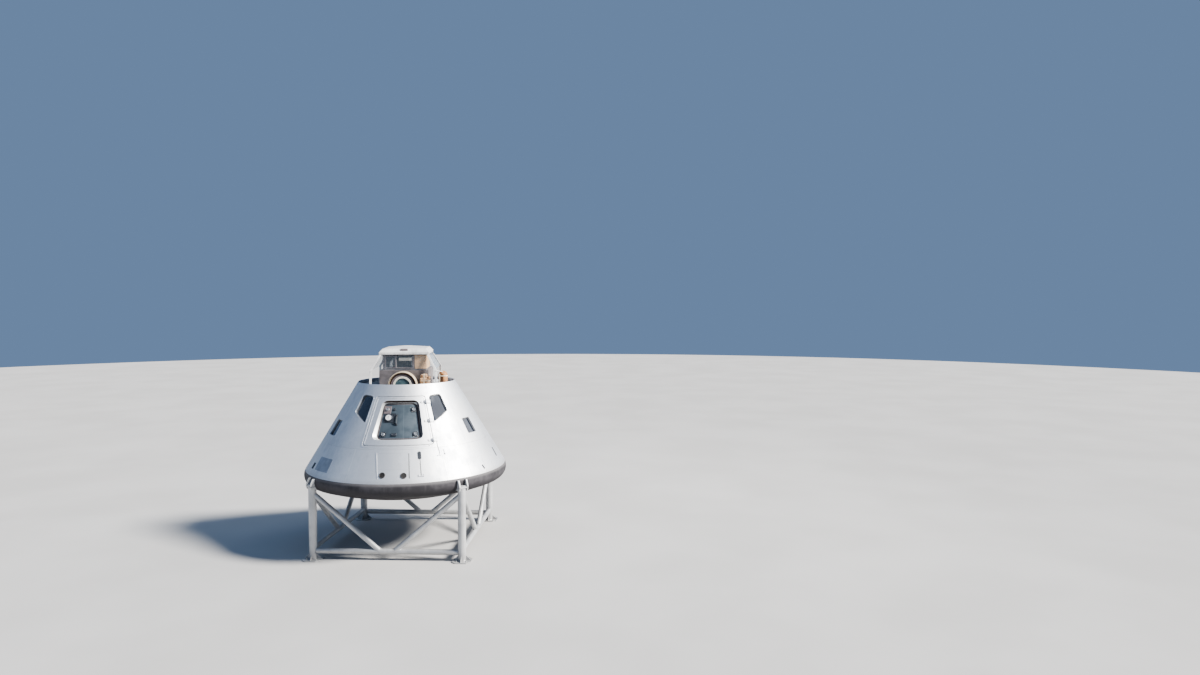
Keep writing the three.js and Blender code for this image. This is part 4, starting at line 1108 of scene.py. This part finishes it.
cap = lofted([(0, 0, z, half) for half, z in CAP], 0.006)
dress("cage_cap_shell", cap, cage_white, "cage", "cage_cap", width=0)
case = [box(0.070, (-0.452, -0.30), (3.780, 3.838), YAW_TURN, 0.006),
        box(0.062, (-0.4535, -0.30), (3.790, 3.829), YAW_TURN, 0.003)]
dress("cap_case", case, mauve, "cage")
quarters = [YAW_TURN @ spin(90 * k) for k in range(4)]
cap_screws = [place @ shift(-0.42 + 0.12 * k, -0.4745, 3.752) @ spin(90, "X") for place in quarters for k in range(8)]
screws("cap_screws", cap_screws, 0.0055, 0.003)
seal = [box(0.452, (-0.454, -0.440), (3.7235, 3.7298), place, 0.001) for place in quarters]
dress("cap_seal", seal, black_rubber, "cage")

# %% [markdown]
# ## Cage glass
# A thin sheet in daylight is nearly nothing: a faint cool tint, dust streaks that run down it, and a reflection
# that grows at a low angle. A solid refracting glass would be truer close to, but it darkens everything behind
# it, so the surface has a low cover instead, and the streaks and a layer weight raise it.

# %% Cage panes
GLASS_LOW, GLASS_THICK, GLASS_PLAY = 3.442, 0.008, 0.0005
clear = Finish("cage_glass", roughness=0.06, specular=0.6)
dust, blots = clear.noise(16, 5, 0.62, stretch=(1, 1, 0.22)), clear.noise(4.5)
graze = clear.add("ShaderNodeLayerWeight", {"Blend": 0.28}).outputs["Fresnel"]
streak = clear.times(clear.ramp(dust, 0.52, 0.74), clear.ramp(blots, 0.42, 0.62, 0.15, 1.0))
cover = clear.sum(clear.times(streak, 0.16), clear.times(graze, 0.40), 0.03)
clear.put("Base Color", clear.blend(streak, (0.42, 0.50, 0.58), (0.86, 0.88, 0.90))).put("IOR", 1.5)
clear.put("Alpha", clear.ramp(cover, 0, 1, kind="LINEAR")).put("Roughness", clear.ramp(streak, 0, 1, 0.05, 0.4))

for side, place in zip(("front", "right", "rear", "left"), quarters):
    rings = []
    for z in (GLASS_LOW, CAGE[2][1] - GLASS_PLAY):
        half = CAGE[1][0] + (CAGE[2][0] - CAGE[1][0]) * (z - CAGE[1][1]) / (CAGE[2][1] - CAGE[1][1])
        width = half - STRUT / 2 - GLASS_PLAY
        sheet = rectangle(-width, width, -GLASS_THICK / 2 - half, GLASS_THICK / 2 - half)
        rings.append([(x, y, z) for x, y in sheet])
    pane = ringed(rings, place=place)
    dress("cage_pane_" + side, pane, clear.material, "glass", "cage_glass_" + side, width=0.0008)

# %% [markdown]
# ## Tunnel housing
# Inside the cage stands a stepped box over the docking tunnel. Its lower half is plain grey. The upper half is
# fitted out: a framed dark panel on the left, an upright recess with a cream bar, and a tan insulated panel on
# the right that goes round the corner. The colours come from the photograph, and the depths are guessed from
# their shadows. Panels are separate bevelled plates, because painted ones would lack the shadow line.

# %% Housing boxes
LOW_HALF, LOW_TOP, HIGH_HALF, HIGH_TOP = 0.470, 3.425, 0.416, 3.7297
HOUSING_RECESS, RECESS_DEEP = (-0.150, 0.150, 3.475, 3.705), 0.060  # left, right, bottom, top
house_paint = speckled("housing_paint", (5, 5), 60, 0.6, (0.185, 0.165, 0.165), (0.27, 0.245, 0.245),
                       (0.12, 0.11, 0.105), (0.42, 0.66), 0.0005, 0.4, roughness=0.55, specular=0.4)


def recessed_box(half, low, high, hole, deep):
    """Box with an upright recess in its front."""
    bm = bmesh.new()
    foot, head = [[bm.verts.new((half * a, half * b, z)) for a, b in SQUARE] for z in (low, high)]
    front, back = [[bm.verts.new((x, -half + y, z)) for x, z in rectangle(*hole)] for y in (0, deep)]
    for i in range(1, 4):
        j = (i + 1) % 4
        bm.faces.new((foot[i], foot[j], head[j], head[i]))
    for face in (foot, head, back):
        bm.faces.new(face)
    quads(bm, (foot[0], foot[1], head[1], head[0]), front)
    quads(bm, front, back)
    return bevelled(solid(bm, YAW_TURN), 0.004)


def front_panel(left, right, bottom, top, lift, thick, width=0.003, place=YAW_TURN):
    """Plate on a side of the housing, from a lift of its face."""
    face = -HIGH_HALF - lift
    return upright(rectangle(left, right, bottom, top), face - thick, face, place, width)


housing = [lofted([(0, 0, z, LOW_HALF) for z in (DECK_Z + 0.0003, LOW_TOP)], 0.006),
           recessed_box(HIGH_HALF, LOW_TOP - 0.001, HIGH_TOP, HOUSING_RECESS, RECESS_DEEP)]
dress("tunnel_housing_shell", housing, house_paint, "housing", "tunnel_housing")
BARS = [  # left, right, bottom, top
    (-0.372, -0.158, 3.462, 3.480), (-0.372, -0.158, 3.692, 3.712), (-0.372, -0.350, 3.478, 3.694),
    (-0.182, -0.158, 3.478, 3.694), (0.158, 0.176, 3.462, 3.712),
]
frame_bars = [front_panel(*bar, -0.001, 0.012) for bar in BARS]
frame_bars.append(front_panel(-0.150, 0.150, 3.452, 3.472, -0.001, 0.016))
dress("housing_frames", frame_bars, mauve, "housing")
DARK_PANELS = [  # the same, with lift, thickness and bevel
    (-0.349, -0.183, 3.481, 3.691, -0.001, 0.003), (-0.335, -0.205, 3.640, 3.676, 0.002, 0.016),
    (-0.290, -0.222, 3.492, 3.634, 0.002, 0.010), (-0.149, 0.149, 3.476, 3.704, -0.0595, 0.002, 0),
    (0.030, 0.052, 3.478, 3.590, -0.050, 0.030),
]
dress("housing_dark", [front_panel(*row) for row in DARK_PANELS], fitting_dark, "housing")
cream_paint = skin_finish("cream_paint", (0.80, 0.76, 0.66), (0.64, 0.60, 0.51), metal=0.1)
dress("housing_bar", [front_panel(-0.108, 0.142, 3.602, 3.664, -0.054, 0.040, 0.006)], cream_paint, "housing")

tan = Finish("tan_panel", roughness=0.72, specular=0.3)
weave, fade = tan.noise(240, 3), tan.noise(6)
tan_cloth = tan.done(tan.tones(fade, 0.35, 0.65, (0.56, 0.36, 0.205), (0.68, 0.47, 0.29)),
                     tan.bump(weave, 0.0008, 0.5, tan.bump(tan.noise(14, 3, 0.5), 0.006, 0.4)),
                     tan.ramp(fade, 0.3, 0.7, 0.62, 0.8))
tan_panels = [front_panel(*span, 3.446, 3.716, -0.001, 0.012, 0.005, place)
              for span, place in zip([(0.196, 0.4165), (-0.4165, 0.30)], quarters)]
dress("housing_tan", tan_panels, tan_cloth, "cloth")

# %% [markdown]
# ## Barrel and canister
# Out of the housing's front comes half a drum: a thin gold edge, a deep dark band whose floor is painted shade, a
# mauve face, a pale ring and a dark blue-green disc in the middle. To the right of the cage a small domed canister
# stands on the deck, with a band of painted shade on its left. What they hold can't be seen. Both are turned shapes,
# and the drum is cut off level with the deck.

# %% Drum and canister
BARREL_Z, DRUM_CUT_Z = 3.150, 3.1055
CANISTER_X, CANISTER_R, SHOULDER_Z, DOME_TOP = 0.706, 0.092, 3.286, 3.368
DRUM = {  # profiles of (radius, distance out)
    "shell": [(0.244, 0.731), (0.244, 0.785), (0.249, 0.790), (0.265, 0.790), (0.270, 0.785), (0.270, 0.612),
              (0.200, 0.612), (0.200, 0.731)],
    "neck": drum(0.205, 0.4705, 0.613),
    "band": [(0.215, 0.7305), (0.2435, 0.7305), (0.2435, 0.734), (0.215, 0.734)],
    "lip": [(0.2445, 0.7895), (0.2560, 0.7895), (0.2560, 0.7918), (0.2445, 0.7918)],
    "face": [(0.181, 0.730), (0.181, 0.764), (0.212, 0.768), (0.216, 0.764), (0.216, 0.730)],
    "pale": [(0.142, 0.740), (0.142, 0.772), (0.146, 0.776), (0.174, 0.776), (0.179, 0.771), (0.179, 0.740)],
    "disc": [(0, 0.735), (0.1425, 0.735), (0.1425, 0.752), (0.130, 0.758), (0, 0.761)],
}


def half_drum(name):
    """Turned profile, laid to the front and cut level just above the deck."""
    made = turned(DRUM[name], 96, YAW_TURN @ shift(z=BARREL_Z) @ spin(90, "X"))
    bm = bmesh.new()
    bm.from_mesh(made.data)
    geometry = bm.verts[:] + bm.edges[:] + bm.faces[:]
    level = {"plane_co": (0, 0, DRUM_CUT_Z), "plane_no": (0, 0, -1)}
    cut = bmesh.ops.bisect_plane(bm, geom=geometry, clear_outer=True, **level)
    bmesh.ops.holes_fill(bm, edges=[e for e in cut["geom_cut"] if isinstance(e, bmesh.types.BMEdge)])
    bm.to_mesh(made.data)
    bm.free()
    return made


gold = skin_finish("gold_paint", (0.76, 0.66, 0.50), (0.60, 0.49, 0.35), metal=0.3)
brown_seal_and_shade = clouded("brown_seal_and_shade", 38, 0.35, 0.7, (0.060, 0.036, 0.024), (0.125, 0.085, 0.062),
                     (240, 3, 0.6, 0.0005, 0.5), roughness=0.55, specular=0.35)
teal = clouded("teal_disc", 20, 0.35, 0.7, (0.045, 0.085, 0.100), (0.11, 0.16, 0.165),
               (160, 3, 0.6, 0.0004, 0.4), (0.3, 0.5), roughness=0.4)
dress("drum_shell", [half_drum("shell"), half_drum("neck")], gold, "barrel", "front_barrel")
# dark brown: on the groove's floor it is painted shade that deepens the groove, and a thin brown lip on the front
# edge
dress("drum_band", [half_drum("band"), half_drum("lip")], brown_seal_and_shade, "barrel")
for name, paint in (("face", mauve), ("pale", cream_paint), ("disc", teal)):
    dress("drum_" + name, half_drum(name), paint, "barrel")

body = [(0, 3.1055), (0.0905, 3.1055), (0.092, 3.107), (0.092, 3.150), (0.0895, 3.1525), (0.0895, 3.1575),
        (0.092, 3.160)]
turns = [pi / 20 * k for k in range(10)]
dome = [(CANISTER_R * cos(t), SHOULDER_Z + (DOME_TOP - SHOULDER_Z) * sin(t)) for t in turns]
spot = YAW_TURN @ shift(CANISTER_X)
ochre = Finish("canister_paint", specular=0.45)
scorch = ochre.noise(9, 5, 0.65)
tone = ochre.tones(scorch, 0.38, 0.62, (0.56, 0.30, 0.14), (0.34, 0.17, 0.085))
east, north, up = ochre.split()
across = ochre.sum(ochre.times(east, 0.961), ochre.times(north, 0.276))
# painted shade: an upright dark band on the canister's left side, seen from the front, fading out over the dome
painted_shade_band = ochre.times(ochre.window(across, 0.650, 0.690, 0.028), ochre.ramp(up, 3.35, 3.28))
tone = ochre.over(tone, (0.060, 0.024, 0.012), painted_shade_band, ochre.ramp(scorch, 0.2, 0.6, 1.0, 0.8))
ochre_paint = ochre.done(tone, ochre.bump(scorch, 0.001, 0.4), ochre.ramp(scorch, 0.3, 0.7, 0.42, 0.6))
dress("canister_shell", turned([*body, *dome, (0, DOME_TOP)], 64, spot), ochre_paint, "barrel", "side_canister")
clamp = [turned([(0.0915, 3.262), (0.0945, 3.262), (0.0945, 3.282), (0.0915, 3.282)], 64, spot),
         box((-0.012, 0.010), (-0.105, -0.088), (3.1055, 3.330), spot @ shift(-0.062), 0.002)]
dress("canister_clamp", clamp, cream_paint, "barrel")

# %% [markdown]
# ## Display stand
# The stand is welded from round steel tube and painted grey: four posts, four bottom rails and eight braces. Each
# post is a round tube with a chamfered end, set on a foot plate with anchor bolts. Three-cornered gussets
# stiffen the joint. A gusset is a flat plate, so its outline is drawn once and stood up four times round
# each post.

# %% Stand paint, posts, feet and gussets
STAND_HALF, POST_R, POST_TOP, CHAMFER = 1.385, 0.0725, 1.395, 0.002
FOOT_HALF, FOOT_CUT, FOOT_THICK, ANCHOR_R = 0.175, 0.105, 0.014, 0.128
GUSSET = [(-0.004, -0.001), (0.092, -0.001), (0.092, 0.006), (0, 0.088), (-0.004, 0.088)]  # out of post, up from foot
CORNERS = {"front_left": (-1, -1), "front_right": (1, -1), "rear_right": (1, 1), "rear_left": (-1, 1)}
stand = Finish("stand_paint", metallic=0.3)
cloudy, chip, streaky = stand.noise(3.2, 5), stand.noise(70, 5, 0.65), stand.noise(15, stretch=(1, 1, 0.15))
paint = stand.tones(cloudy, 0.35, 0.65, (0.44, 0.445, 0.45), (0.55, 0.555, 0.555))
paint = stand.over(paint, (0.30, 0.295, 0.285), stand.ramp(streaky, 0.55, 0.75), 0.35)
low_dirt = stand.times(stand.ramp(stand.split()[2], 0.30, 0.02), stand.ramp(chip, 0.35, 0.65, 0.1, 0.4))
paint = stand.over(paint, (0.22, 0.20, 0.175), low_dirt)
paint = stand.over(paint, (0.20, 0.16, 0.13), stand.ramp(chip, 0.70, 0.76), 0.8)
dents = stand.bump(stand.noise(120, 3), 0.0006, 0.35)
stand_grey = stand.done(paint, dents, stand.ramp(cloudy, 0.3, 0.7, 0.34, 0.48))


def bar(start, end, radius, sides=40):
    """Round bar whose ends have a small chamfer."""
    start, along = Vector(start), Vector(end) - Vector(start)
    r, long = radius - CHAMFER, along.length
    profile = [(0, 0), (r, 0), (radius, CHAMFER), (radius, long - CHAMFER), (r, long), (0, long)]
    turn = along.normalized().to_track_quat("Z", "Y").to_matrix().to_4x4()
    return settle(turned(profile, sides, Matrix.Translation(start) @ turn))


foot_plan = [(-FOOT_CUT, -FOOT_HALF), (FOOT_CUT, -FOOT_HALF), (FOOT_HALF, -FOOT_CUT), (FOOT_HALF, FOOT_CUT)]
foot_plan += [(-x, -y) for x, y in foot_plan]
gusset_edge = [(POST_R + out, FOOT_THICK + up) for out, up in GUSSET]
posts, anchors = [], []
for x, y in [(sx * STAND_HALF, sy * STAND_HALF) for sx, sy in CORNERS.values()]:
    spot = shift(x, y)
    posts += [bar((x, y, 0.010), (x, y, POST_TOP), POST_R, 48), plate(foot_plan, FOOT_THICK, spot, 0.0025)]
    posts += [upright(gusset_edge, -0.005, 0.005, spot @ spin(90 * k), 0.0012) for k in range(4)]
    bead = [spot @ Vector((*point, FOOT_THICK + 0.002)) for point in circle(POST_R + 0.002, 48)]
    posts.append(settle(tube(bead, 0.006, 8, closed=True)))
    for t in [radians(45 + 90 * k) for k in range(4)]:
        anchors.append(spot @ shift(ANCHOR_R * cos(t), ANCHOR_R * sin(t), FOOT_THICK))
print("posts", len(CORNERS), "anchors", len(anchors))

# %% [markdown]
# ## Saddles
# On top of each post a saddle of two cheek plates holds the capsule's rim. The cheek's outline follows
# the rim at a small distance, so it is worked out from the shield's own radius instead of being drawn by eye.
# A post, its foot, its gussets and its saddle are one welded part with one finish, so they are joined. Fewer
# objects keep the list of objects short, and each CAD node is still named by the piece that stands for it.

# %% Saddles, joined with the posts
SEAT_Z, SEAT_THICK = 1.352, 0.022
CHEEK_LOW, CHEEK_TOP, CHEEK_OUT = SEAT_Z - 0.046, 1.502, 0.008
CHEEK_OFFSET, CHEEK_HALF = 0.082, 0.013
centre_r = STAND_HALF * sqrt(2)
outer_r = centre_r + POST_R


def rim_radius(z, grow):
    """Outermost radius of the heat shield at a height, or 0 above or below its rim."""
    reach = (RIM_R + grow) ** 2 - (z - RIM_CENTRE_Z) ** 2
    return RIM_CENTRE_R + sqrt(reach) if reach > 0 else 0


cheek = [(max(rim_radius(z, 0.0006), centre_r - POST_R), z)
         for z in [CHEEK_LOW + (CHEEK_TOP - CHEEK_LOW) * i / 12 for i in range(13)]]
cheek += [(outer_r - 0.034, CHEEK_TOP), (outer_r + CHEEK_OUT, SEAT_Z + 0.040), (outer_r + CHEEK_OUT, SEAT_Z),
          (outer_r - CHEEK_OUT, CHEEK_LOW)]
SEAT_TOP = SEAT_Z + SEAT_THICK
seat = ((rim_radius(SEAT_TOP, 0.0008), outer_r + CHEEK_OUT), CHEEK_OFFSET + CHEEK_HALF, (SEAT_Z, SEAT_TOP))
for sx, sy in CORNERS.values():
    turn = spin(degrees(atan2(sy, sx)))
    posts += [upright(cheek, y - CHEEK_HALF, y + CHEEK_HALF, turn, 0.0022) for y in (-CHEEK_OFFSET, CHEEK_OFFSET)]
    posts.append(box(*seat, turn))
dress("stand_posts", posts, stand_grey, "stand", *["stand_post_" + name for name in CORNERS])
heads = [place @ shift(z=0.004) for place in anchors]
fixings = [turned([(0.008, -0.001), (0.021, -0.001), (0.021, 0.0025), (0.0195, 0.004), (0.008, 0.004)], 28, place)
           for place in anchors]
fixings += [plate(circle(0.0145, 6), 0.012, place, 0.0012) for place in heads]
fixings += [turned([(0, 0), (0.0078, 0), (0.0078, 0.020), (0.0062, 0.022), (0, 0.022)], 16, place) for place in heads]
dress("stand_anchors", fixings, bright_steel, "fitting")

# %% [markdown]
# ## Rails and braces
# Bottom rails tie the posts together, and two braces on each side run down in a V to the middle of the rail. Side
# rails stand a little higher than the front and rear ones, as in the photograph. The tubes are plain, so the eye
# goes to the joints. Each has a small uneven weld bead, laid where the surfaces meet: each point of the end ring
# is pushed along the tube until it touches the other surface.

# %% Rails, braces and welds
RAIL_R, RAIL_Z = 0.050, (0.158, 0.208)  # front and rear rails, side rails
BRACE_R, BRACE_TOP_Z, BRACE_FOOT_X, BRACE_FOOT_UP = 0.047, 1.236, 0.150, 0.020
WELD_R, WELD_SIDES, WELD_WOBBLE = 0.0055, 48, 0.0012


def weld(name, start, end, radius, other_from, other_to, other_r):
    """Bead where a tube that runs to its end meets another tube."""
    along = (end - start).normalized()
    side = along.orthogonal().normalized()
    up = along.cross(side)
    axis = (other_to - other_from).normalized()
    drift = along - axis * along.dot(axis)
    wobble = random.Random(name + str(round(start.x + 3 * start.y + 7 * start.z, 3)))
    points = []
    for t in angles(WELD_SIDES):
        ray = start + radius * (side * cos(t) + up * sin(t))
        gap = ray - other_from
        level = gap - axis * gap.dot(axis)
        a, b, c = drift.dot(drift), 2 * level.dot(drift), level.dot(level) - other_r**2
        root = b * b - 4 * a * c
        if root > 0:
            reach = (-b - sqrt(root)) / (2 * a)
            points.append(ray + along * (reach + wobble.uniform(-WELD_WOBBLE, WELD_WOBBLE)))
    return tube(points, WELD_R, 8, closed=True)


rails, braces, beads = [], [], []
for k in range(4):
    rail_z = RAIL_Z[k % 2]
    ends = [spin(90 * k) @ Vector((x, -STAND_HALF, rail_z)) for x in (-STAND_HALF, STAND_HALF)]
    rails.append(bar(ends[0].lerp(ends[1], 0.0245), ends[1].lerp(ends[0], 0.0245), RAIL_R))
    for x, end in zip((-1, 1), ends):
        top = spin(90 * k) @ Vector((x * STAND_HALF, -STAND_HALF, BRACE_TOP_Z))
        foot = spin(90 * k) @ Vector((x * BRACE_FOOT_X, -STAND_HALF, rail_z + BRACE_FOOT_UP))
        along = (foot - top).normalized()
        braces.append(bar(top + along * 0.045, foot - along * 0.005, BRACE_R))
        post = (end, Vector((end.x, end.y, 1.2)), POST_R)
        beads += [weld("weld_rail", (ends[0] + ends[1]) / 2, end, RAIL_R, *post),
                  weld("weld_top", (top + foot) / 2, top, BRACE_R, *post),
                  weld("weld_foot", (top + foot) / 2, foot, BRACE_R, *ends, RAIL_R)]
SIDES = ("front", "right", "rear", "left")
dress("stand_rails", rails, stand_grey, "stand", *["stand_rail_" + name for name in SIDES])
brace_nodes = [f"stand_brace_{name}_{side}" for name in SIDES for side in ("left", "right")]
dress("stand_braces", braces, stand_grey, "stand", *brace_nodes)
dress("stand_welds", beads, stand_grey, "stand")

# %% [markdown]
# ## Stowed pack
# Beside the drum a tan fabric pack is tied down in the corner of the cage. It is a soft lump, not a case, so
# it starts as four loose blocks, fused by a voxel remesh and wrinkled with a fixed noise. A cloth simulation
# with a little air pressure then swells it, with the bands under the straps pinned, so that it draws in
# there. How far a point may travel is capped, and the result is kept inside the space of the CAD solid.

# %% Block out the bag
PACK_LOW, PACK_HIGH = Vector((0.3075, -0.6375, 3.1060)), Vector((0.5175, -0.4875, 3.3725))
VOXEL, BUNDLE_EDGE = 0.0045, 0.026
BUNDLES = [
    # x, y and z limits, tilt in degrees
    ((0.318, 0.508), (-0.627, -0.497), (3.1065, 3.180), 0),
    ((0.316, 0.500), (-0.620, -0.496), (3.172, 3.286), 3),
    ((0.330, 0.462), (-0.614, -0.503), (3.268, 3.357), -8),
    ((0.436, 0.508), (-0.617, -0.508), (3.186, 3.318), 5),
]
WRINKLES = ((21, 0.0075), (47, 0.0030))  # grains per metre, depth


def bundle(*spans, tilt):
    bm = bmesh.new()
    bmesh.ops.create_cube(bm, size=1.0)
    bmesh.ops.scale(bm, vec=[high - low for low, high in spans], verts=bm.verts)
    bmesh.ops.bevel(bm, geom=bm.edges[:], offset=BUNDLE_EDGE, segments=3, profile=0.5, affect="EDGES")
    centre = [(low + high) / 2 for low, high in spans]
    bmesh.ops.transform(bm, matrix=shift(*centre) @ spin(tilt, "Y"), verts=bm.verts)
    return as_object(bm)


def kept_inside(co):
    return Vector([min(max(c, low), high) for c, low, high in zip(co, PACK_LOW, PACK_HIGH)])


bag = joined([bundle(*spans, tilt=tilt) for *spans, tilt in BUNDLES])
modified(bag, "REMESH", mode="VOXEL", voxel_size=VOXEL)
noise.seed_set(7)  # the noise would be seeded by the clock, and the wrinkles would differ from run to run
for vertex in applied(bag).data.vertices:
    fine, finest = [noise.noise_vector(vertex.co * grains) * depth for grains, depth in WRINKLES]
    vertex.co = kept_inside(vertex.co + (fine + finest))
print("bag start", len(bag.data.vertices), "points")

# %% [markdown]
# ## Swell the bag
# Real stuffing pushes cloth out evenly, and webbing holds it back. Pressure in the cloth solver does the same.
# Without gravity the bag keeps its place, and stiff settings keep it from ballooning.

# %% Swell it
STRAP_X, BELT_AT = 0.392, 3.228
STEPS, FARTHEST = 20, 0.009
start = [v.co.copy() for v in bag.data.vertices]
held = [i for i, co in enumerate(start) if abs(co.x - STRAP_X) < 0.010 or abs(co.z - BELT_AT) < 0.008]
bag.vertex_groups.new(name="pins").add(held, 1.0, "REPLACE")
fabric = modified(bag, "CLOTH").settings
fabric.quality, fabric.mass = 6, 0.3
fabric.tension_stiffness = fabric.compression_stiffness = 14
fabric.shear_stiffness, fabric.bending_stiffness = 6, 0.3
fabric.use_pressure, fabric.uniform_pressure_force = True, 4.0
fabric.effector_weights.gravity = 0
fabric.vertex_group_mass = "pins"
for step in range(1, STEPS + 1):
    bpy.context.scene.frame_set(step)
applied(bag)
bpy.context.scene.frame_set(1)
bag.vertex_groups.clear()
for vertex, co in zip(bag.data.vertices, start):
    move = vertex.co - co
    vertex.co = kept_inside(co + move * min(1, FARTHEST / max(move.length, 1e-9)))
modified(bag, "SUBSURF", levels=1)
settle(bag, 75)

canvas = Finish("pack_canvas", specular=0.25).put("Sheen Weight", 0.25)
threads, faded = canvas.noise(520, 2, 0.5, (1, 1, 0.35)), canvas.noise(12, 5)
creases = canvas.noise(24, 4, 0.55, (1, 1, 0.5), twist=0.6)
sand = canvas.tones(faded, 0.35, 0.68, (0.40, 0.245, 0.145), (0.62, 0.43, 0.28))
# painted shade: dark brown in the creases, from the same noise that bumps them
sand = canvas.over(sand, (0.20, 0.105, 0.06), canvas.ramp(creases, 0.47, 0.60), 0.75)
wrinkled = canvas.bump(threads, 0.0006, 0.6, canvas.bump(creases, 0.006, 0.6))
canvas_cloth = canvas.done(sand, wrinkled, canvas.ramp(faded, 0.3, 0.7, 0.78, 0.92))
print("bag", len(bag.data.polygons), "faces")

# %% [markdown]
# ## Straps and buckle
# Webbing is too thin to survive a voxel remesh, so it is made after the bag. Rays are cast in towards the
# bag's middle from all round, and the strap runs through the points they hit. Where the bag dips, the
# strap is pulled straight across the hollow, as a tight strap would be.

# %% Straps and buckle
STRAP_THICK, STRAP_POINTS = 0.0016, 72


def strap_round(centre, along, side, half):
    """Webbing pulled round the bag in the plane across along, with the points it runs through."""
    tree = BVHTree.FromObject(bag, bpy.context.evaluated_depsgraph_get())
    other = along.cross(side)
    ways = [side * cos(t) + other * sin(t) for t in angles(STRAP_POINTS)]
    reach = []
    for way in ways:
        hits = [tree.ray_cast(centre + along * s + way * 0.5, -way)[0] for s in (-half, 0, half)]
        reach.append(max((hit - centre).dot(way) for hit in hits if hit) + 0.0004)
    taut = [max(reach[k], (reach[k - 2] + reach[(k + 2) % STRAP_POINTS]) / 2) for k in range(STRAP_POINTS)]
    points = [centre + way * far for way, far in zip(ways, taut)]
    section = rectangle(-half, half, 0, STRAP_THICK)
    rings = [[p + along * a + way * b for a, b in section] for p, way in zip(points, ways)]
    return ringed(rings, closed=True), points


bpy.context.view_layer.update()
x_way, y_way, z_way = Matrix.Identity(3)
tall, _ = strap_round(Vector((STRAP_X, -0.560, 3.236)), x_way, y_way, 0.010)
belt, belt_points = strap_round(Vector((0.412, -0.560, BELT_AT)), z_way, x_way, 0.009)
webbing = joined([tall, belt])
seat = Matrix.Translation(min(belt_points, key=lambda p: p.y + 4 * abs(p.x - 0.455)))
bars = [((-0.016, 0.016), (z, z + 0.004)) for z in (-0.015, 0.011)]
bars += [((x, x + 0.003), (-0.011, 0.011)) for x in (-0.016, 0.013)]
buckle = joined([box(xs, (-0.0045, -0.0020), zs, seat, 0.0008) for xs, zs in bars])
for piece in (bag, webbing, buckle):
    piece.data.transform(YAW_TURN)
strap = Finish("strap_weave", specular=0.3)
ribs = strap.noise(700, 2, 0.5, (0.3, 0.3, 1))
strap_weave = strap.done(strap.tones(ribs, 0.3, 0.7, (0.66, 0.56, 0.44), (0.45, 0.36, 0.26)),
                         strap.bump(ribs, 0.0005, 0.6), strap.ramp(ribs, 0.3, 0.7, 0.7, 0.9))
dress("pack_cloth", bag, canvas_cloth, "cloth", "stowed_pack", width=0)
dress("pack_straps", webbing, strap_weave, "cloth", width=0.0004)
dress("pack_buckle", buckle, bright_steel, "fitting")

# %% [markdown]
# ## Studio
# A plain pale floor, one soft light from the right as the sun stands in the photograph, and a pale
# cool surround that fills the shade. The key is a sun lamp with a wide disc, because a lamp near the model would
# leave the far floor dark. The camera stands where the photograph was taken: its place and lens were
# solved from the capsule's known width.

# %% Floor, lights and camera
KEY_DIRECTION = Vector((0.797, -0.140, 0.588))
SKY_DIRECTION = Vector((0.750, 0.303, 0.588))  # the part of the sky that the right-hand windows mirror
MIDDLE = Vector((0, 0, 2.2))
scene, view = bpy.context.scene, bpy.context.scene.view_settings
floor = plate(circle(60, 96), 0.01, shift(z=-0.012))
floor.name = "floor"
pave = Finish("pale_floor", roughness=0.8, specular=0.2)
pave.put("Base Color", pave.tones(pave.noise(0.35, 3, 0.5), 0.3, 0.7, (0.49, 0.48, 0.465), (0.535, 0.525, 0.51)))
floor.data.materials.append(pave.material)


def placed(name, data, spot, towards, axis="-Z"):
    made = bpy.data.objects.new(name, data)
    scene.collection.objects.link(made)
    made.location = spot
    made.rotation_euler = towards.to_track_quat(axis, "Y").to_euler()


def softbox(name, offset, size, power, colour):
    lamp = bpy.data.lights.new(name, "AREA")
    lamp.shape, lamp.size, lamp.size_y = "RECTANGLE", *size
    lamp.energy, lamp.color = power, colour
    placed(name, lamp, MIDDLE + offset, -offset)


key = bpy.data.lights.new("key", "SUN")
key.energy, key.angle, key.color = 9.5, radians(10.7), (1.0, 0.965, 0.91)
placed("key", key, (0, 0, 0), KEY_DIRECTION, "Z")
softbox("sky", SKY_DIRECTION.normalized() * 12, (13, 7.5), 420, (0.97, 0.96, 0.95))
softbox("fill", Vector((-9, -7, 4)), (7, 6), 60, (0.72, 0.84, 1.0))
scene.world = bpy.data.worlds.new("surround")
scene.world.use_nodes = True
surround = scene.world.node_tree.nodes["Background"].inputs
surround["Color"].default_value, surround["Strength"].default_value = (0.40, 0.60, 0.97, 1), 0.37
view.view_transform, view.look = "AgX", "AgX - Medium High Contrast"

lens = bpy.data.cameras.new("camera")
lens.lens, lens.sensor_width = 23.46, 36
camera = bpy.data.objects.new("camera", lens)
scene.collection.objects.link(camera)
camera.location = (4.448, -15.440, 4.677)
camera.rotation_euler = (radians(87.664), 0, radians(2.177))
scene.camera = camera
print("camera", [round(v, 2) for v in camera.location], "m, lens", lens.lens, "mm")
